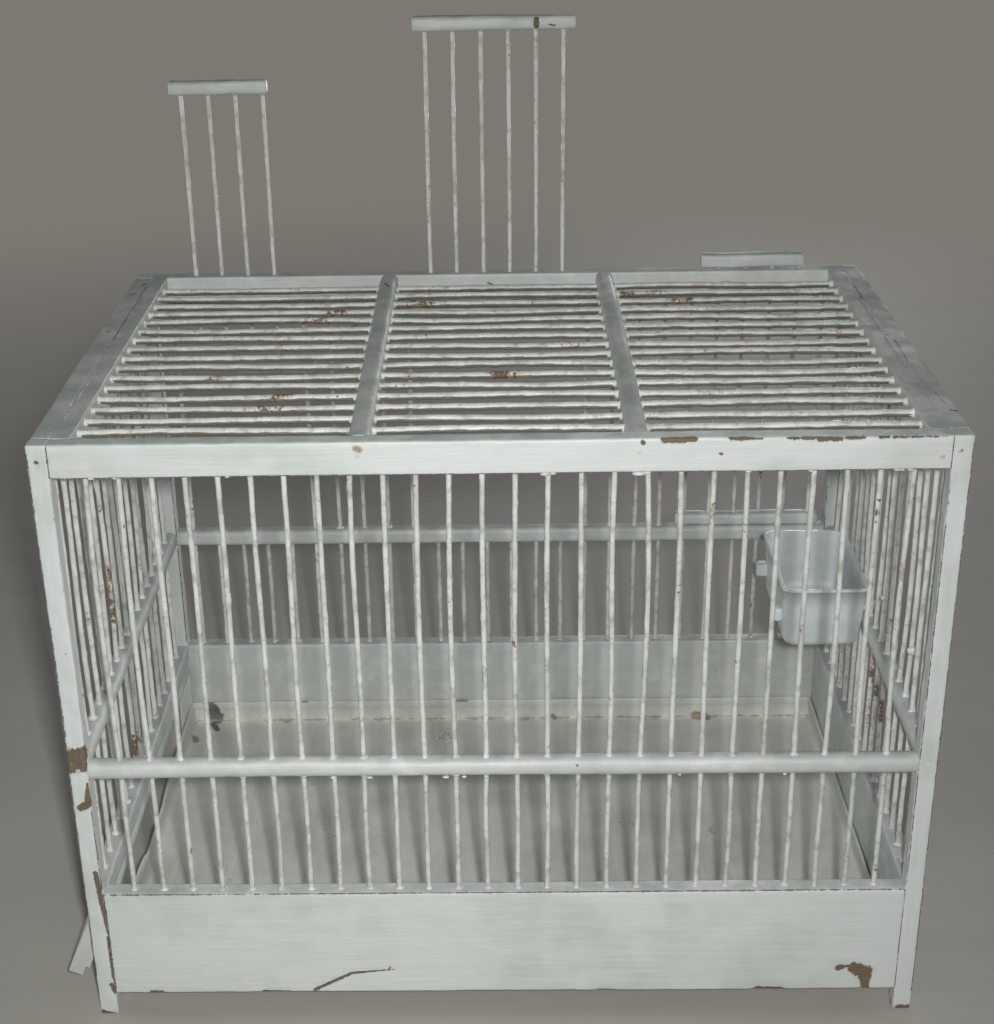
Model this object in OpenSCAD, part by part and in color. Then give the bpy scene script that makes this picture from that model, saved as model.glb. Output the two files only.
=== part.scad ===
// Canary breeding cage: a butt-jointed wooden frame with wires set in drilled holes,
// three lift-up wire doors in the rear wall, a slide-out metal tray behind a hanging
// flap at the left end, and a feeder hooked on the right wall.
// Origin: on the table, midway between the four feet. +X right, +Y to the door wall, +Z up.

/* [Frame] */
// Width over the corner posts
cage_w = 424; // [400:1:460]
// Depth over the corner posts
cage_d = 270; // [250:1:300]
// Height from the feet to the top of the posts
cage_h = 322.5; // [315:0.5:360]
// Thickness of the square stock of the posts, rails and boards
stock = 9.5; // [9:0.1:11]
// Height of the feet below the base boards
foot_h = 13.5; // [9:0.5:16]
// Height of the three base boards
base_board_h = 63; // [60:1:75]
// Height of the base rail over the tray slot
base_rail_h = 12; // [9:0.5:14]
// Height of the top rails
top_rail_h = 16.5; // [15:0.5:20]
// Underside of the mid rails above the table
mid_rail_z = 147.5; // [135:0.5:155]
// Height of the mid rails
mid_rail_h = 10; // [9:0.5:13]
// Distance of the front mid rail below the other mid rails
front_mid_drop = 3; // [2.5:0.5:4]
// Rounding along the edges of the stock
edge_r = 1.2; // [0.5:0.1:2]
// Rounding along the edges of the mid rails and roof bars
soft_edge_r = 3; // [2:0.1:4]

/* [Roof] */
// Width of the roof rail beside each end wall
roof_rail_w = 9; // [8:0.5:12]
// Width of each roof bar
roof_bar_w = 10; // [8.5:0.5:13]
// Height of each roof bar
roof_bar_h = 13; // [12:0.5:15]
// Distance of each roof bar from the middle of the cage
roof_bar_x = 63; // [55:0.5:70]
// Depth of the roof wires below the top of the rails
roof_wire_drop = 4.2; // [3.8:0.1:9.5]
// Diameter of a painted roof wire
roof_wire_d = 3.2; // [2.4:0.1:3.4]

/* [Wires] */
// Diameter of a painted wire
wire_d = 2.6; // [2.2:0.1:3]
// Depth of the blind hole that seats a wire end
wire_seat = 6; // [4:0.5:7]
// Space left under a wire end in its hole
seat_gap = 0.2; // [0.1:0.1:0.5]
// Clearance all round a wire that is fixed in its hole
wire_fit = 0.04; // [0.02:0.01:0.1]
// Number of wires in the front wall
front_wire_n = 26; // [22:1:28]
// Number of wires in each side wall and across the roof
side_wire_n = 16; // [14:1:17]
// Distance from a post to the first wire of the rear wall
rear_margin = 10; // [9:0.5:14]

/* [Doors] */
// Number of door wires in each side door
side_door_n = 4; // [3:1:4]
// Number of door wires in the middle door
middle_door_n = 6; // [5:1:6]
// Number of fixed wires between the guide wires of neighbouring doors
fixed_between = 4; // [3:1:4]
// Clearance all round a wire that slides in its hole
slide_fit = 0.08; // [0.05:0.01:0.1]
// Height of the wooden bars of a door
door_bar_h = 8; // [7:0.5:10]
// Thickness of the wooden bars of a door
door_bar_t = 8; // [7:0.5:9]
// Rounding along the edges of the door bars
door_edge_r = 1.8; // [1:0.1:2]
// Depth of a door wire in its bars
door_seat = 5.5; // [4:0.5:6]
// Length of the left door's top bar past its left wire
left_door_left_end = 6.5; // [4:0.5:8]
// Length of the left door's top bar past its right wire
left_door_right_end = 3; // [2.5:0.5:8]
// Length of the middle door's top bar past its outer wires
middle_door_end = 7; // [4:0.5:8]
// Length of the right door's top bar past its left wire
right_door_left_end = 11.5; // [4:0.5:12]
// Length of the right door's top bar past its right wire
right_door_right_end = 2.5; // [2.5:0.5:8]
// Length of a bottom bar past its guide wire
guide_over = 6; // [4:0.5:6]
// Gap between the bottom bar of a closed door and the mid rail
door_gap = 0.3; // [0.2:0.1:0.5]
// Gap between the top bar of a closed door and the rear rail
top_bar_gap = 1.2; // [0.5:0.1:3]
// Distance of the raised left door below its highest place
left_drop = 36; // [0:1:130]
// Distance of the raised middle door below its highest place
middle_drop = 3; // [0:1:130]

/* [Tray] */
// Thickness of the tray metal
tray_t = 1; // [0.6:0.1:1.5]
// Height of the tray up to its rim
tray_h = 16; // [12:0.5:20]
// Running gap between the tray and the cage on each side
tray_gap = 0.3; // [0.2:0.1:1]
// Height of the hem folded inward along the rim
hem_h = 5; // [3:0.5:7]
// Thickness that the hem adds to the rim
hem_t = 0.8; // [0.5:0.1:1]
// Radius of the upright corners of the tray
tray_corner_r = 3; // [2.5:0.5:6]
// Width of the two runners that carry the tray
runner_w = 8; // [6:0.5:12]
// Height of the two runners that carry the tray
runner_h = 5.5; // [4:0.5:7]

/* [Flap] */
// Gap between the rounded top of the flap and the rail above it
flap_top_gap = 1; // [0.5:0.1:2]
// Length of the flap from its pivot to its lower edge
flap_l = 43.5; // [40:0.5:44]
// Height of the rebate along the lower inner edge of the flap
rebate_h = 6; // [4:0.5:9]
// Depth of the rebate along the lower inner edge of the flap
rebate_t = 2; // [1:0.5:3]
// Angle at which the flap leans outward
flap_lean = 23.6; // [20:0.1:40]
// Gap at each end of the flap
flap_end_gap = 0.5; // [0.3:0.1:1]
// Diameter of the two pivot pins
pin_d = 2.2; // [1.8:0.1:3]
// Depth of a pivot pin in the flap
pin_seat = 10; // [8:0.5:14]
// Clearance all round a pivot pin in the flap
pin_fit = 0.08; // [0.05:0.01:0.1]

/* [Nails] */
// Diameter of a frame nail
nail_d = 1.6; // [1.2:0.1:2]
// Length of a frame nail
nail_l = 16.5; // [14.5:0.5:16.5]
// Diameter of a nail head
nail_head_d = 2.6; // [2.2:0.1:3.2]
// Thickness of a nail head
nail_head_h = 0.8; // [0.5:0.1:1.2]
// Clearance all round a nail or pin in the post that holds it
nail_fit = 0.02; // [0.01:0.01:0.05]
// Distance between the two nails that cross in a post
nail_step = 4; // [3.5:0.1:4.5]
// Height of the lower nails of the base boards
low_nail_z = 32; // [28:1:40]

/* [Feeder] */
// Length of the feeder along the wall
feeder_l = 78; // [70:1:85]
// Width of the feeder at its walls
feeder_w = 47; // [40:1:50]
// Height of the feeder
feeder_h = 37.5; // [35:0.5:39]
// Thickness of the feeder walls
feeder_t = 1.6; // [1.4:0.1:2]
// Inward slope of each feeder wall from top to bottom
feeder_taper = 2.4; // [2.3:0.1:3]
// Radius of the upright corners of the feeder
feeder_corner_r = 8; // [7.5:0.5:10]
// Rounding between the walls and the bottom of the feeder
feeder_foot_r = 2.5; // [2:0.1:2.7]
// Width of the rim outside the feeder walls
rim_over = 0.8; // [0.7:0.1:1.5]
// Height of the rim
rim_h = 1.5; // [1.2:0.1:3]
// Gap between the rim and the side wires
rim_gap = 1.45; // [1.3:0.05:2]
// Height of the rim above the arms of the hooks
hook_drop = 20; // [18:0.5:22]
// Thickness of each hook
hook_t = 3; // [2:0.5:3.5]
// Width of each hook
hook_w = 7; // [5:0.5:8]
// Length of the hook tip behind the mid rail
hook_tip = 8; // [5:0.5:9]
// Gap between a hook and the mid rail
hook_gap = 0.3; // [0.2:0.1:0.5]
// Side wire that the middle of the feeder faces
feeder_wire = 11; // [5:1:12]
// Number of gaps between side wires from one hook to the other
hook_gap_n = 3; // [1:2:3]
// Height of the two lugs on the inner side of the feeder
lug_h = 7.5; // [6:0.5:10]
// Width of each lug
lug_w = 7; // [5:0.5:9]
// Reach of each lug
lug_l = 6; // [3:0.5:7]
// Rounding of the corners of each lug
lug_round = 2; // [1:0.1:2.4]
// Depth of the middle of the lugs below the rim
lug_drop = 20.5; // [16:0.5:26]
// Place of the front lug from the middle of the feeder
front_lug_y = -26; // [-28:1:-15]
// Place of the rear lug from the middle of the feeder
rear_lug_y = 30; // [20:1:31]

/* [Hidden] */
$fn = 32;
eps = 0.01;
half_w = cage_w / 2;
half_d = cage_d / 2;
in_w = cage_w - 2 * stock;
in_d = cage_d - 2 * stock;
post_x = half_w - stock / 2;
post_y = half_d - stock / 2;
board_top = foot_h + base_board_h;
base_rail_z = board_top - base_rail_h;
mid_rail_top = mid_rail_z + mid_rail_h;
front_mid_z = mid_rail_z - front_mid_drop;
top_rail_z = cage_h - top_rail_h;
roof_wire_z = cage_h - roof_wire_drop;
roof_in_x = in_w / 2 - roof_rail_w;
roof_bar_z = cage_h - roof_bar_h;

front_pitch = in_w / (front_wire_n + 1);
side_pitch = in_d / (side_wire_n + 1);
front_x = [for (i = [1:front_wire_n]) -in_w / 2 + i * front_pitch];
side_y = [for (i = [1:side_wire_n]) -in_d / 2 + i * side_pitch];
wall_wire_low = board_top - wire_seat + seat_gap;
wall_wire_high = top_rail_z + wire_seat - seat_gap;
short_wire_high = mid_rail_z + wire_seat - seat_gap;

// The rear wall: each door is [first door wire, number of door wires, height raised,
// left end and right end of its top bar], counted in rear wire places, with a guide wire
// just outside its first and last wire, and fixed wires between neighbouring doors.
guide_n = 4;
rear_wire_n = 2 * side_door_n + middle_door_n + 2 * fixed_between + guide_n;
rear_pitch = (in_w - 2 * rear_margin) / (rear_wire_n - 1);
rear_x = [for (i = [0:rear_wire_n - 1]) rear_margin - in_w / 2 + i * rear_pitch];
door_low = mid_rail_top + door_gap;
door_travel = top_rail_z - door_low - door_bar_h - door_gap;
left_door = [1, side_door_n, door_travel - left_drop, left_door_left_end, left_door_right_end];
middle_door = [side_door_n + fixed_between + 2, middle_door_n, door_travel - middle_drop,
  middle_door_end, middle_door_end];
right_door = [rear_wire_n - 1 - side_door_n, side_door_n, 0, right_door_left_end,
  right_door_right_end];
doors = [left_door, middle_door, right_door];
function in_door(i) = len([for (d = doors) if (i >= d[0] && i < d[0] + d[1]) 1]) > 0;
function door_wire_x(d) = [for (i = [0:d[1] - 1]) rear_x[d[0] + i]];
function guide_x(d) = [rear_x[d[0] - 1], rear_x[d[0] + d[1]]];
door_x = [for (i = [0:rear_wire_n - 1]) if (in_door(i)) rear_x[i]];
long_x = [for (i = [0:rear_wire_n - 1]) if (!in_door(i)) rear_x[i]];

// Nails cross in each post: those along X sit half a step above the middle of the
// member they hold, those along Y half a step below. The front mid rail lies lower, and
// its own nails sit half a step below its middle.
top_nail_z = top_rail_z + top_rail_h / 2;
mid_nail_z = mid_rail_z + mid_rail_h / 2;
base_nail_z = base_rail_z + base_rail_h / 2;
front_mid_nail_z = front_mid_z + mid_rail_h / 2 - nail_step / 2;
rear_mid_nail_z = mid_nail_z + nail_step / 2;
left_nail_z = [for (z = [base_nail_z, mid_nail_z, top_nail_z]) z - nail_step / 2];
right_nail_z = concat([low_nail_z - nail_step / 2], left_nail_z);
roof_nail_x = roof_in_x + roof_rail_w / 2;
function x_nail_z(end) = [low_nail_z + nail_step / 2, base_nail_z + nail_step / 2,
  end < 0 ? front_mid_nail_z : rear_mid_nail_z, top_nail_z + nail_step / 2];

runner_y = in_d / 2 - runner_w / 2;
tray_z = foot_h + runner_h;
tray_len = in_w - 2 * tray_gap;
tray_wid = in_d - 2 * tray_gap;
flap_len = in_d - 2 * flap_end_gap;
flap_pivot_z = base_rail_z - flap_top_gap - stock / 2;

feeder_y = side_y[feeder_wire - 1];
arm_z = mid_rail_top + hook_gap;
feeder_z = arm_z + hook_drop - feeder_h;
feeder_x = post_x - wire_d / 2 - rim_gap - rim_over - feeder_w / 2;
wall_slope = feeder_taper / feeder_h;
hook_y = [for (side = [-1, 1]) feeder_y + side * hook_gap_n * side_pitch / 2];
arm_x = feeder_x + feeder_w / 2 - wall_slope * hook_drop - feeder_t / 2;
tip_x = half_w + hook_gap;

// A rectangle with rounded corners, centred on the origin.
module soft_rect(w, h, r) {
  square([w - 2 * r, h], center = true);
  square([w, h - 2 * r], center = true);
  for (x = [-1, 1], y = [-1, 1])
    translate([x * (w / 2 - r), y * (h / 2 - r)]) circle(r);
}

// A straight wooden member along X, centred, with its width along Y and height along Z.
module member_x(l, w, h, r) {
  rotate([90, 0, 90]) linear_extrude(l, center = true) soft_rect(w, h, r);
}

// The same member along Y, with its width along X.
module member_y(l, w, h, r) {
  rotate([90, 0, 0]) linear_extrude(l, center = true) soft_rect(w, h, r);
}

// A member of the front (end = -1) or rear (end = 1) wall, between the posts.
module wall_member_x(end, z, h, r) {
  translate([0, end * post_y, z + h / 2]) member_x(in_w, stock, h, r);
}

// A member of the left (side = -1) or right (side = 1) wall, between the posts.
module wall_member_y(side, z, h, r) {
  translate([side * post_x, 0, z + h / 2]) member_y(in_d, stock, h, r);
}

// Upright rods of diameter d in the front or rear wall, at the places xs along X.
module rods_x(xs, end, low, high, d) {
  for (x = xs)
    translate([x, end * post_y, low]) cylinder(d = d, h = high - low);
}

// Upright rods of diameter d in a side wall, at all its wire places along Y.
module rods_y(side, low, high, d) {
  for (y = side_y)
    translate([side * post_x, y, low]) cylinder(d = d, h = high - low);
}

// Level rods of diameter d across the roof, from x = low to x = high.
module roof_rods(low, high, d) {
  for (y = side_y)
    translate([low, y, roof_wire_z]) rotate([0, 90, 0]) cylinder(d = d, h = high - low);
}

// A nail driven down from the plane z = 0, grown all round by gap to make its hole.
module nail(gap) {
  translate([0, 0, -nail_l - gap]) cylinder(d = nail_d + 2 * gap, h = nail_l + gap);
  translate([0, 0, -nail_head_h - gap])
    cylinder(d = nail_head_d + 2 * gap, h = nail_head_h + 2 * gap);
}

// Nails along X through a post into the end of a front or rear member.
module x_nails(side, end, heights, gap) {
  for (z = heights)
    translate([side * half_w, end * post_y, z]) rotate([0, side * 90, 0]) nail(gap);
}

// Nails along Y through a front or rear face, at the place x along X.
module y_nails(x, end, heights, gap) {
  for (z = heights)
    translate([x, end * half_d, z]) rotate([-end * 90, 0, 0]) nail(gap);
}

// The nails that hold the roof rails and roof bars to the front or rear top rail.
module roof_nails(end, gap) {
  for (side = [-1, 1]) {
    y_nails(side * roof_nail_x, end, [top_nail_z - nail_step / 2], gap);
    y_nails(side * roof_bar_x, end, [top_nail_z + nail_step / 2], gap);
  }
}

// The pin of the flap through a left post, grown all round by gap to make its hole.
module pin(end, gap) {
  reach = stock + flap_end_gap + pin_seat + 2 * gap;
  translate([-post_x, end * (half_d + gap), flap_pivot_z])
    rotate([end * 90, 0, 0]) cylinder(d = pin_d + 2 * gap, h = reach);
}

module post(side, end) {
  color("gainsboro") difference() {
    translate([side * post_x, end * post_y, 0])
      linear_extrude(cage_h) soft_rect(stock, stock, edge_r);
    x_nails(side, end, x_nail_z(end), nail_fit);
    y_nails(side * post_x, end, side < 0 ? left_nail_z : right_nail_z, nail_fit);
    if (side < 0) pin(end, nail_fit);
  }
}

module front_left_post() { post(-1, -1); }

module front_right_post() { post(1, -1); }

module rear_left_post() { post(-1, 1); }

module rear_right_post() { post(1, 1); }

module front_top_rail() {
  color("gainsboro") difference() {
    wall_member_x(-1, top_rail_z, top_rail_h, edge_r);
    rods_x(front_x, -1, top_rail_z - eps, top_rail_z + wire_seat, wire_d + 2 * wire_fit);
    for (side = [-1, 1]) x_nails(side, -1, [top_nail_z + nail_step / 2], nail_fit);
    roof_nails(-1, nail_fit);
  }
}

// The door wires slide in holes right through this rail.
module rear_top_rail() {
  color("gainsboro") difference() {
    wall_member_x(1, top_rail_z, top_rail_h, edge_r);
    rods_x(long_x, 1, top_rail_z - eps, top_rail_z + wire_seat, wire_d + 2 * wire_fit);
    rods_x(door_x, 1, top_rail_z - eps, cage_h + eps, wire_d + 2 * slide_fit);
    for (side = [-1, 1]) x_nails(side, 1, [top_nail_z + nail_step / 2], nail_fit);
    roof_nails(1, nail_fit);
  }
}

module side_top_rail(side) {
  color("gainsboro") difference() {
    wall_member_y(side, top_rail_z, top_rail_h, edge_r);
    rods_y(side, top_rail_z - eps, top_rail_z + wire_seat, wire_d + 2 * wire_fit);
    for (end = [-1, 1]) y_nails(side * post_x, end, [top_nail_z - nail_step / 2], nail_fit);
  }
}

module left_top_rail() { side_top_rail(-1); }

module right_top_rail() { side_top_rail(1); }

// The roof rail lies against the side top rail and seats one end of every roof wire.
module roof_rail(side) {
  low = side > 0 ? roof_in_x - eps : -roof_in_x - wire_seat;
  color("gainsboro") difference() {
    translate([side * roof_nail_x, 0, top_nail_z])
      member_y(in_d, roof_rail_w, top_rail_h, edge_r);
    roof_rods(low, low + wire_seat + eps, roof_wire_d + 2 * wire_fit);
    roof_nails(-1, nail_fit);
    roof_nails(1, nail_fit);
  }
}

module left_roof_rail() { roof_rail(-1); }

module right_roof_rail() { roof_rail(1); }

// The roof wires run through a row of holes in each roof bar.
module roof_bar(side) {
  x = side * roof_bar_x;
  reach = roof_bar_w / 2 + eps;
  color("gainsboro") difference() {
    translate([x, 0, roof_bar_z + roof_bar_h / 2])
      member_y(in_d, roof_bar_w, roof_bar_h, soft_edge_r);
    roof_rods(x - reach, x + reach, roof_wire_d + 2 * wire_fit);
    roof_nails(-1, nail_fit);
    roof_nails(1, nail_fit);
  }
}

module left_roof_bar() { roof_bar(-1); }

module right_roof_bar() { roof_bar(1); }

module roof_wires() {
  reach = roof_in_x + wire_seat - seat_gap;
  color("whitesmoke") roof_rods(-reach, reach, roof_wire_d);
}

module front_mid_rail() {
  color("gainsboro") difference() {
    wall_member_x(-1, front_mid_z, mid_rail_h, soft_edge_r);
    rods_x(front_x, -1, front_mid_z - eps, front_mid_z + mid_rail_h + eps, wire_d + 2 * wire_fit);
    for (side = [-1, 1]) x_nails(side, -1, [front_mid_nail_z], nail_fit);
  }
}

// The long wires pass through this rail and the short wires end in it.
module rear_mid_rail() {
  color("gainsboro") difference() {
    wall_member_x(1, mid_rail_z, mid_rail_h, soft_edge_r);
    rods_x(long_x, 1, mid_rail_z - eps, mid_rail_top + eps, wire_d + 2 * wire_fit);
    rods_x(door_x, 1, mid_rail_z - eps, mid_rail_z + wire_seat, wire_d + 2 * wire_fit);
    for (side = [-1, 1]) x_nails(side, 1, [rear_mid_nail_z], nail_fit);
  }
}

module side_mid_rail(side) {
  color("gainsboro") difference() {
    wall_member_y(side, mid_rail_z, mid_rail_h, soft_edge_r);
    rods_y(side, mid_rail_z - eps, mid_rail_top + eps, wire_d + 2 * wire_fit);
    for (end = [-1, 1]) y_nails(side * post_x, end, [mid_nail_z - nail_step / 2], nail_fit);
  }
}

module left_mid_rail() { side_mid_rail(-1); }

module right_mid_rail() { side_mid_rail(1); }

module base_board_x(end, xs) {
  heights = [low_nail_z + nail_step / 2, base_nail_z + nail_step / 2];
  color("gainsboro") difference() {
    wall_member_x(end, foot_h, base_board_h, edge_r);
    rods_x(xs, end, board_top - wire_seat, board_top + eps, wire_d + 2 * wire_fit);
    for (side = [-1, 1]) x_nails(side, end, heights, nail_fit);
  }
}

module front_base_board() { base_board_x(-1, front_x); }

module rear_base_board() { base_board_x(1, rear_x); }

module right_base_board() {
  heights = [low_nail_z - nail_step / 2, base_nail_z - nail_step / 2];
  color("gainsboro") difference() {
    wall_member_y(1, foot_h, base_board_h, edge_r);
    rods_y(1, board_top - wire_seat, board_top + eps, wire_d + 2 * wire_fit);
    for (end = [-1, 1]) y_nails(post_x, end, heights, nail_fit);
  }
}

// Only this short rail closes the left end, so that the tray can slide out below it.
module left_base_rail() {
  color("gainsboro") difference() {
    wall_member_y(-1, base_rail_z, base_rail_h, edge_r);
    rods_y(-1, board_top - wire_seat, board_top + eps, wire_d + 2 * wire_fit);
    for (end = [-1, 1]) y_nails(-post_x, end, [base_nail_z - nail_step / 2], nail_fit);
  }
}

module front_wires() {
  color("whitesmoke") rods_x(front_x, -1, wall_wire_low, wall_wire_high, wire_d);
}

module left_wires() {
  color("whitesmoke") rods_y(-1, wall_wire_low, wall_wire_high, wire_d);
}

module right_wires() {
  color("whitesmoke") rods_y(1, wall_wire_low, wall_wire_high, wire_d);
}

module rear_long_wires() {
  color("whitesmoke") rods_x(long_x, 1, wall_wire_low, wall_wire_high, wire_d);
}

module rear_short_wires() {
  color("whitesmoke") rods_x(door_x, 1, wall_wire_low, short_wire_high, wire_d);
}

module tray_runner(end) {
  color("burlywood") translate([0, end * runner_y, foot_h + runner_h / 2])
    cube([in_w, runner_w, runner_h], center = true);
}

module front_tray_runner() { tray_runner(-1); }

module rear_tray_runner() { tray_runner(1); }

module frame_nails() {
  color("silver") for (end = [-1, 1]) {
    for (side = [-1, 1]) x_nails(side, end, x_nail_z(end), 0);
    y_nails(-post_x, end, left_nail_z, 0);
    y_nails(post_x, end, right_nail_z, 0);
    roof_nails(end, 0);
  }
}

module flap_pins() {
  color("silver") for (end = [-1, 1]) pin(end, 0);
}

module door_top_bar(d) {
  xs = door_wire_x(d);
  low = cage_h + top_bar_gap + d[2];
  left_end = xs[0] - d[3];
  right_end = xs[d[1] - 1] + d[4];
  color("gainsboro") difference() {
    translate([(left_end + right_end) / 2, post_y, low + door_bar_h / 2])
      member_x(right_end - left_end, door_bar_t, door_bar_h, door_edge_r);
    rods_x(xs, 1, low - eps, low + door_seat, wire_d + 2 * wire_fit);
  }
}

module door_wires(d) {
  low = door_low + door_bar_h - door_seat + seat_gap + d[2];
  high = cage_h + top_bar_gap + door_seat - seat_gap + d[2];
  color("whitesmoke") rods_x(door_wire_x(d), 1, low, high, wire_d);
}

// The bottom bar reaches past the door wires and slides on the two guide wires.
module door_bottom_bar(d) {
  guides = guide_x(d);
  low = door_low + d[2];
  high = low + door_bar_h;
  color("gainsboro") difference() {
    translate([(guides[0] + guides[1]) / 2, post_y, low + door_bar_h / 2])
      member_x(guides[1] - guides[0] + 2 * guide_over, door_bar_t, door_bar_h, door_edge_r);
    rods_x(guides, 1, low - eps, high + eps, wire_d + 2 * slide_fit);
    rods_x(door_wire_x(d), 1, high - door_seat, high + eps, wire_d + 2 * wire_fit);
  }
}

module left_door_top_bar() { door_top_bar(left_door); }

module left_door_wires() { door_wires(left_door); }

module left_door_bottom_bar() { door_bottom_bar(left_door); }

module middle_door_top_bar() { door_top_bar(middle_door); }

module middle_door_wires() { door_wires(middle_door); }

module middle_door_bottom_bar() { door_bottom_bar(middle_door); }

module right_door_top_bar() { door_top_bar(right_door); }

module right_door_wires() { door_wires(right_door); }

module right_door_bottom_bar() { door_bottom_bar(right_door); }

// The space inside the tray, from the floor up, at the wall thickness t.
module tray_space(low, h, t) {
  translate([0, 0, low]) linear_extrude(h)
    soft_rect(tray_len - 2 * t, tray_wid - 2 * t, tray_corner_r - t);
}

module tray() {
  color("lightgray") difference() {
    translate([0, 0, tray_z]) linear_extrude(tray_h)
      soft_rect(tray_len, tray_wid, tray_corner_r);
    tray_space(tray_z + tray_t, tray_h - tray_t - hem_h, tray_t);
    tray_space(tray_z + tray_t, tray_h, tray_t + hem_t);
  }
}

// The flap hangs on two pins near its rounded top edge and leans outward.
module tray_flap() {
  color("gainsboro") translate([-post_x, 0, flap_pivot_z]) difference() {
    rotate([90, flap_lean, 0]) linear_extrude(flap_len, center = true) difference() {
      union() {
        circle(stock / 2);
        translate([-stock / 2, -flap_l]) square([stock, flap_l]);
      }
      translate([stock / 2 - rebate_t, -flap_l - eps]) square([stock, rebate_h + eps]);
    }
    for (end = [-1, 1])
      translate([0, end * (flap_len / 2 + eps), 0]) rotate([end * 90, 0, 0])
        cylinder(d = pin_d + 2 * pin_fit, h = pin_seat + seat_gap + eps);
  }
}

// Half the section of a pan of height h: a wall that reaches r at the top, slopes in
// towards the bottom and meets it in a rounding of radius foot, or sharply if that is 0.
module pan_section(r, h, foot) {
  base = r - wall_slope * h;
  slant = sqrt(1 + wall_slope * wall_slope);
  foot_x = base - foot * (slant - wall_slope);
  meet = [foot_x + foot / slant, foot - foot * wall_slope / slant];
  if (foot > 0) {
    polygon([[0, 0], [foot_x, 0], meet, [r, h], [0, h]]);
    translate([foot_x, foot]) circle(foot);
  } else {
    polygon([[0, 0], [base, 0], [r, h], [0, h]]);
  }
}

// A solid pan w by l at the top: four turned corners, four walls and the middle.
module pan(w, l, h, r, foot) {
  for (turn = [0:3])
    rotate([0, 0, 90 * turn]) {
      across = turn % 2 == 0 ? w : l;
      along = turn % 2 == 0 ? l : w;
      translate([across / 2 - r, along / 2 - r, 0])
        rotate_extrude(angle = 90) pan_section(r, h, foot);
      translate([across / 2 - r, 0, 0]) rotate([90, 0, 0])
        linear_extrude(along - 2 * r, center = true) pan_section(r, h, foot);
    }
  translate([r - w / 2, r - l / 2, 0]) cube([w - 2 * r, l - 2 * r, h]);
}

module feeder() {
  color("white") difference() {
    union() {
      translate([feeder_x, feeder_y, feeder_z])
        pan(feeder_w, feeder_l, feeder_h, feeder_corner_r, feeder_foot_r);
      translate([feeder_x, feeder_y, feeder_z + feeder_h - rim_h]) linear_extrude(rim_h)
        soft_rect(feeder_w + 2 * rim_over, feeder_l + 2 * rim_over, feeder_corner_r + rim_over);
      for (y = hook_y) hook(y);
      for (y = [front_lug_y, rear_lug_y]) lug(feeder_y + y);
    }
    translate([feeder_x, feeder_y, feeder_z + feeder_t])
      pan(feeder_w - 2 * feeder_t, feeder_l - 2 * feeder_t, feeder_h - feeder_t + eps,
        feeder_corner_r - feeder_t, 0);
  }
}

// A hook that passes between two side wires and drops behind the mid rail.
module hook(y) {
  translate([arm_x, y - hook_w / 2, arm_z]) cube([tip_x + hook_t - arm_x, hook_w, hook_t]);
  translate([tip_x, y - hook_w / 2, arm_z - hook_tip]) cube([hook_t, hook_w, hook_tip + hook_t]);
}

// A lug on the inner wall of the feeder, with a half-round lower end.
module lug(y) {
  z = feeder_z + feeder_h - lug_drop;
  wall_x = feeder_x - feeder_w / 2 + wall_slope * lug_drop;
  translate([wall_x - lug_l, y, z]) rotate([90, 0, 90]) linear_extrude(lug_l + feeder_t / 2)
    soft_rect(lug_w, lug_h, lug_round);
}

front_left_post();
front_right_post();
rear_left_post();
rear_right_post();
front_top_rail();
rear_top_rail();
left_top_rail();
right_top_rail();
left_roof_rail();
right_roof_rail();
left_roof_bar();
right_roof_bar();
roof_wires();
front_mid_rail();
rear_mid_rail();
left_mid_rail();
right_mid_rail();
front_base_board();
rear_base_board();
right_base_board();
left_base_rail();
front_wires();
left_wires();
right_wires();
rear_long_wires();
rear_short_wires();
front_tray_runner();
rear_tray_runner();
frame_nails();
flap_pins();
left_door_top_bar();
left_door_wires();
left_door_bottom_bar();
middle_door_top_bar();
middle_door_wires();
middle_door_bottom_bar();
right_door_top_bar();
right_door_wires();
right_door_bottom_bar();
tray();
tray_flap();
feeder();
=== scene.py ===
# %% [markdown]
# # A canary breeding cage in old white enamel
# The cage is a box of thin battens. Painted wires stand in drilled holes all round it, three wire doors
# lift up through the rear rail, and a metal tray slides out at the left end under a hanging flap.
# The frame gives every piece its place in metres: +Z up, +X towards the feeder, +Y towards the doors.

import bpy
import numpy as np
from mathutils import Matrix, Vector


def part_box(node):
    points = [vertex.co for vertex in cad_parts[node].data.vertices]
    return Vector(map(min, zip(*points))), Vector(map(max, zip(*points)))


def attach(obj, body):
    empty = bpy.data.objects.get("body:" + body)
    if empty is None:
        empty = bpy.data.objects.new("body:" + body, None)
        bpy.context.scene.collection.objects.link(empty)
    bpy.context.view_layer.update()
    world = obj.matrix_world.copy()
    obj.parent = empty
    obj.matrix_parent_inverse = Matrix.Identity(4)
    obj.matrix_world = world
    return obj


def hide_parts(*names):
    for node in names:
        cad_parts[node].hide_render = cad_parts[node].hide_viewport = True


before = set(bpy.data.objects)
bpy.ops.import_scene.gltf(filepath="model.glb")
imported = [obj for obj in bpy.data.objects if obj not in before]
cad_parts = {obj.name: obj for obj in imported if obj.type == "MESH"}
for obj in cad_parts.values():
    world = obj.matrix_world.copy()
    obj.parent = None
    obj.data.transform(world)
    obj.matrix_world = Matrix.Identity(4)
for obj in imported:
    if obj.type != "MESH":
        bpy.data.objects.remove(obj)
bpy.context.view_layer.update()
MM = 0.001

# %% [markdown]
# ## The view
# The camera stands in front of the cage and looks down at it. Its place was worked out from the edges of the
# posts, rails and boards, whose real sizes are known, and a small sideways shift keeps the cage off centre.

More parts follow.
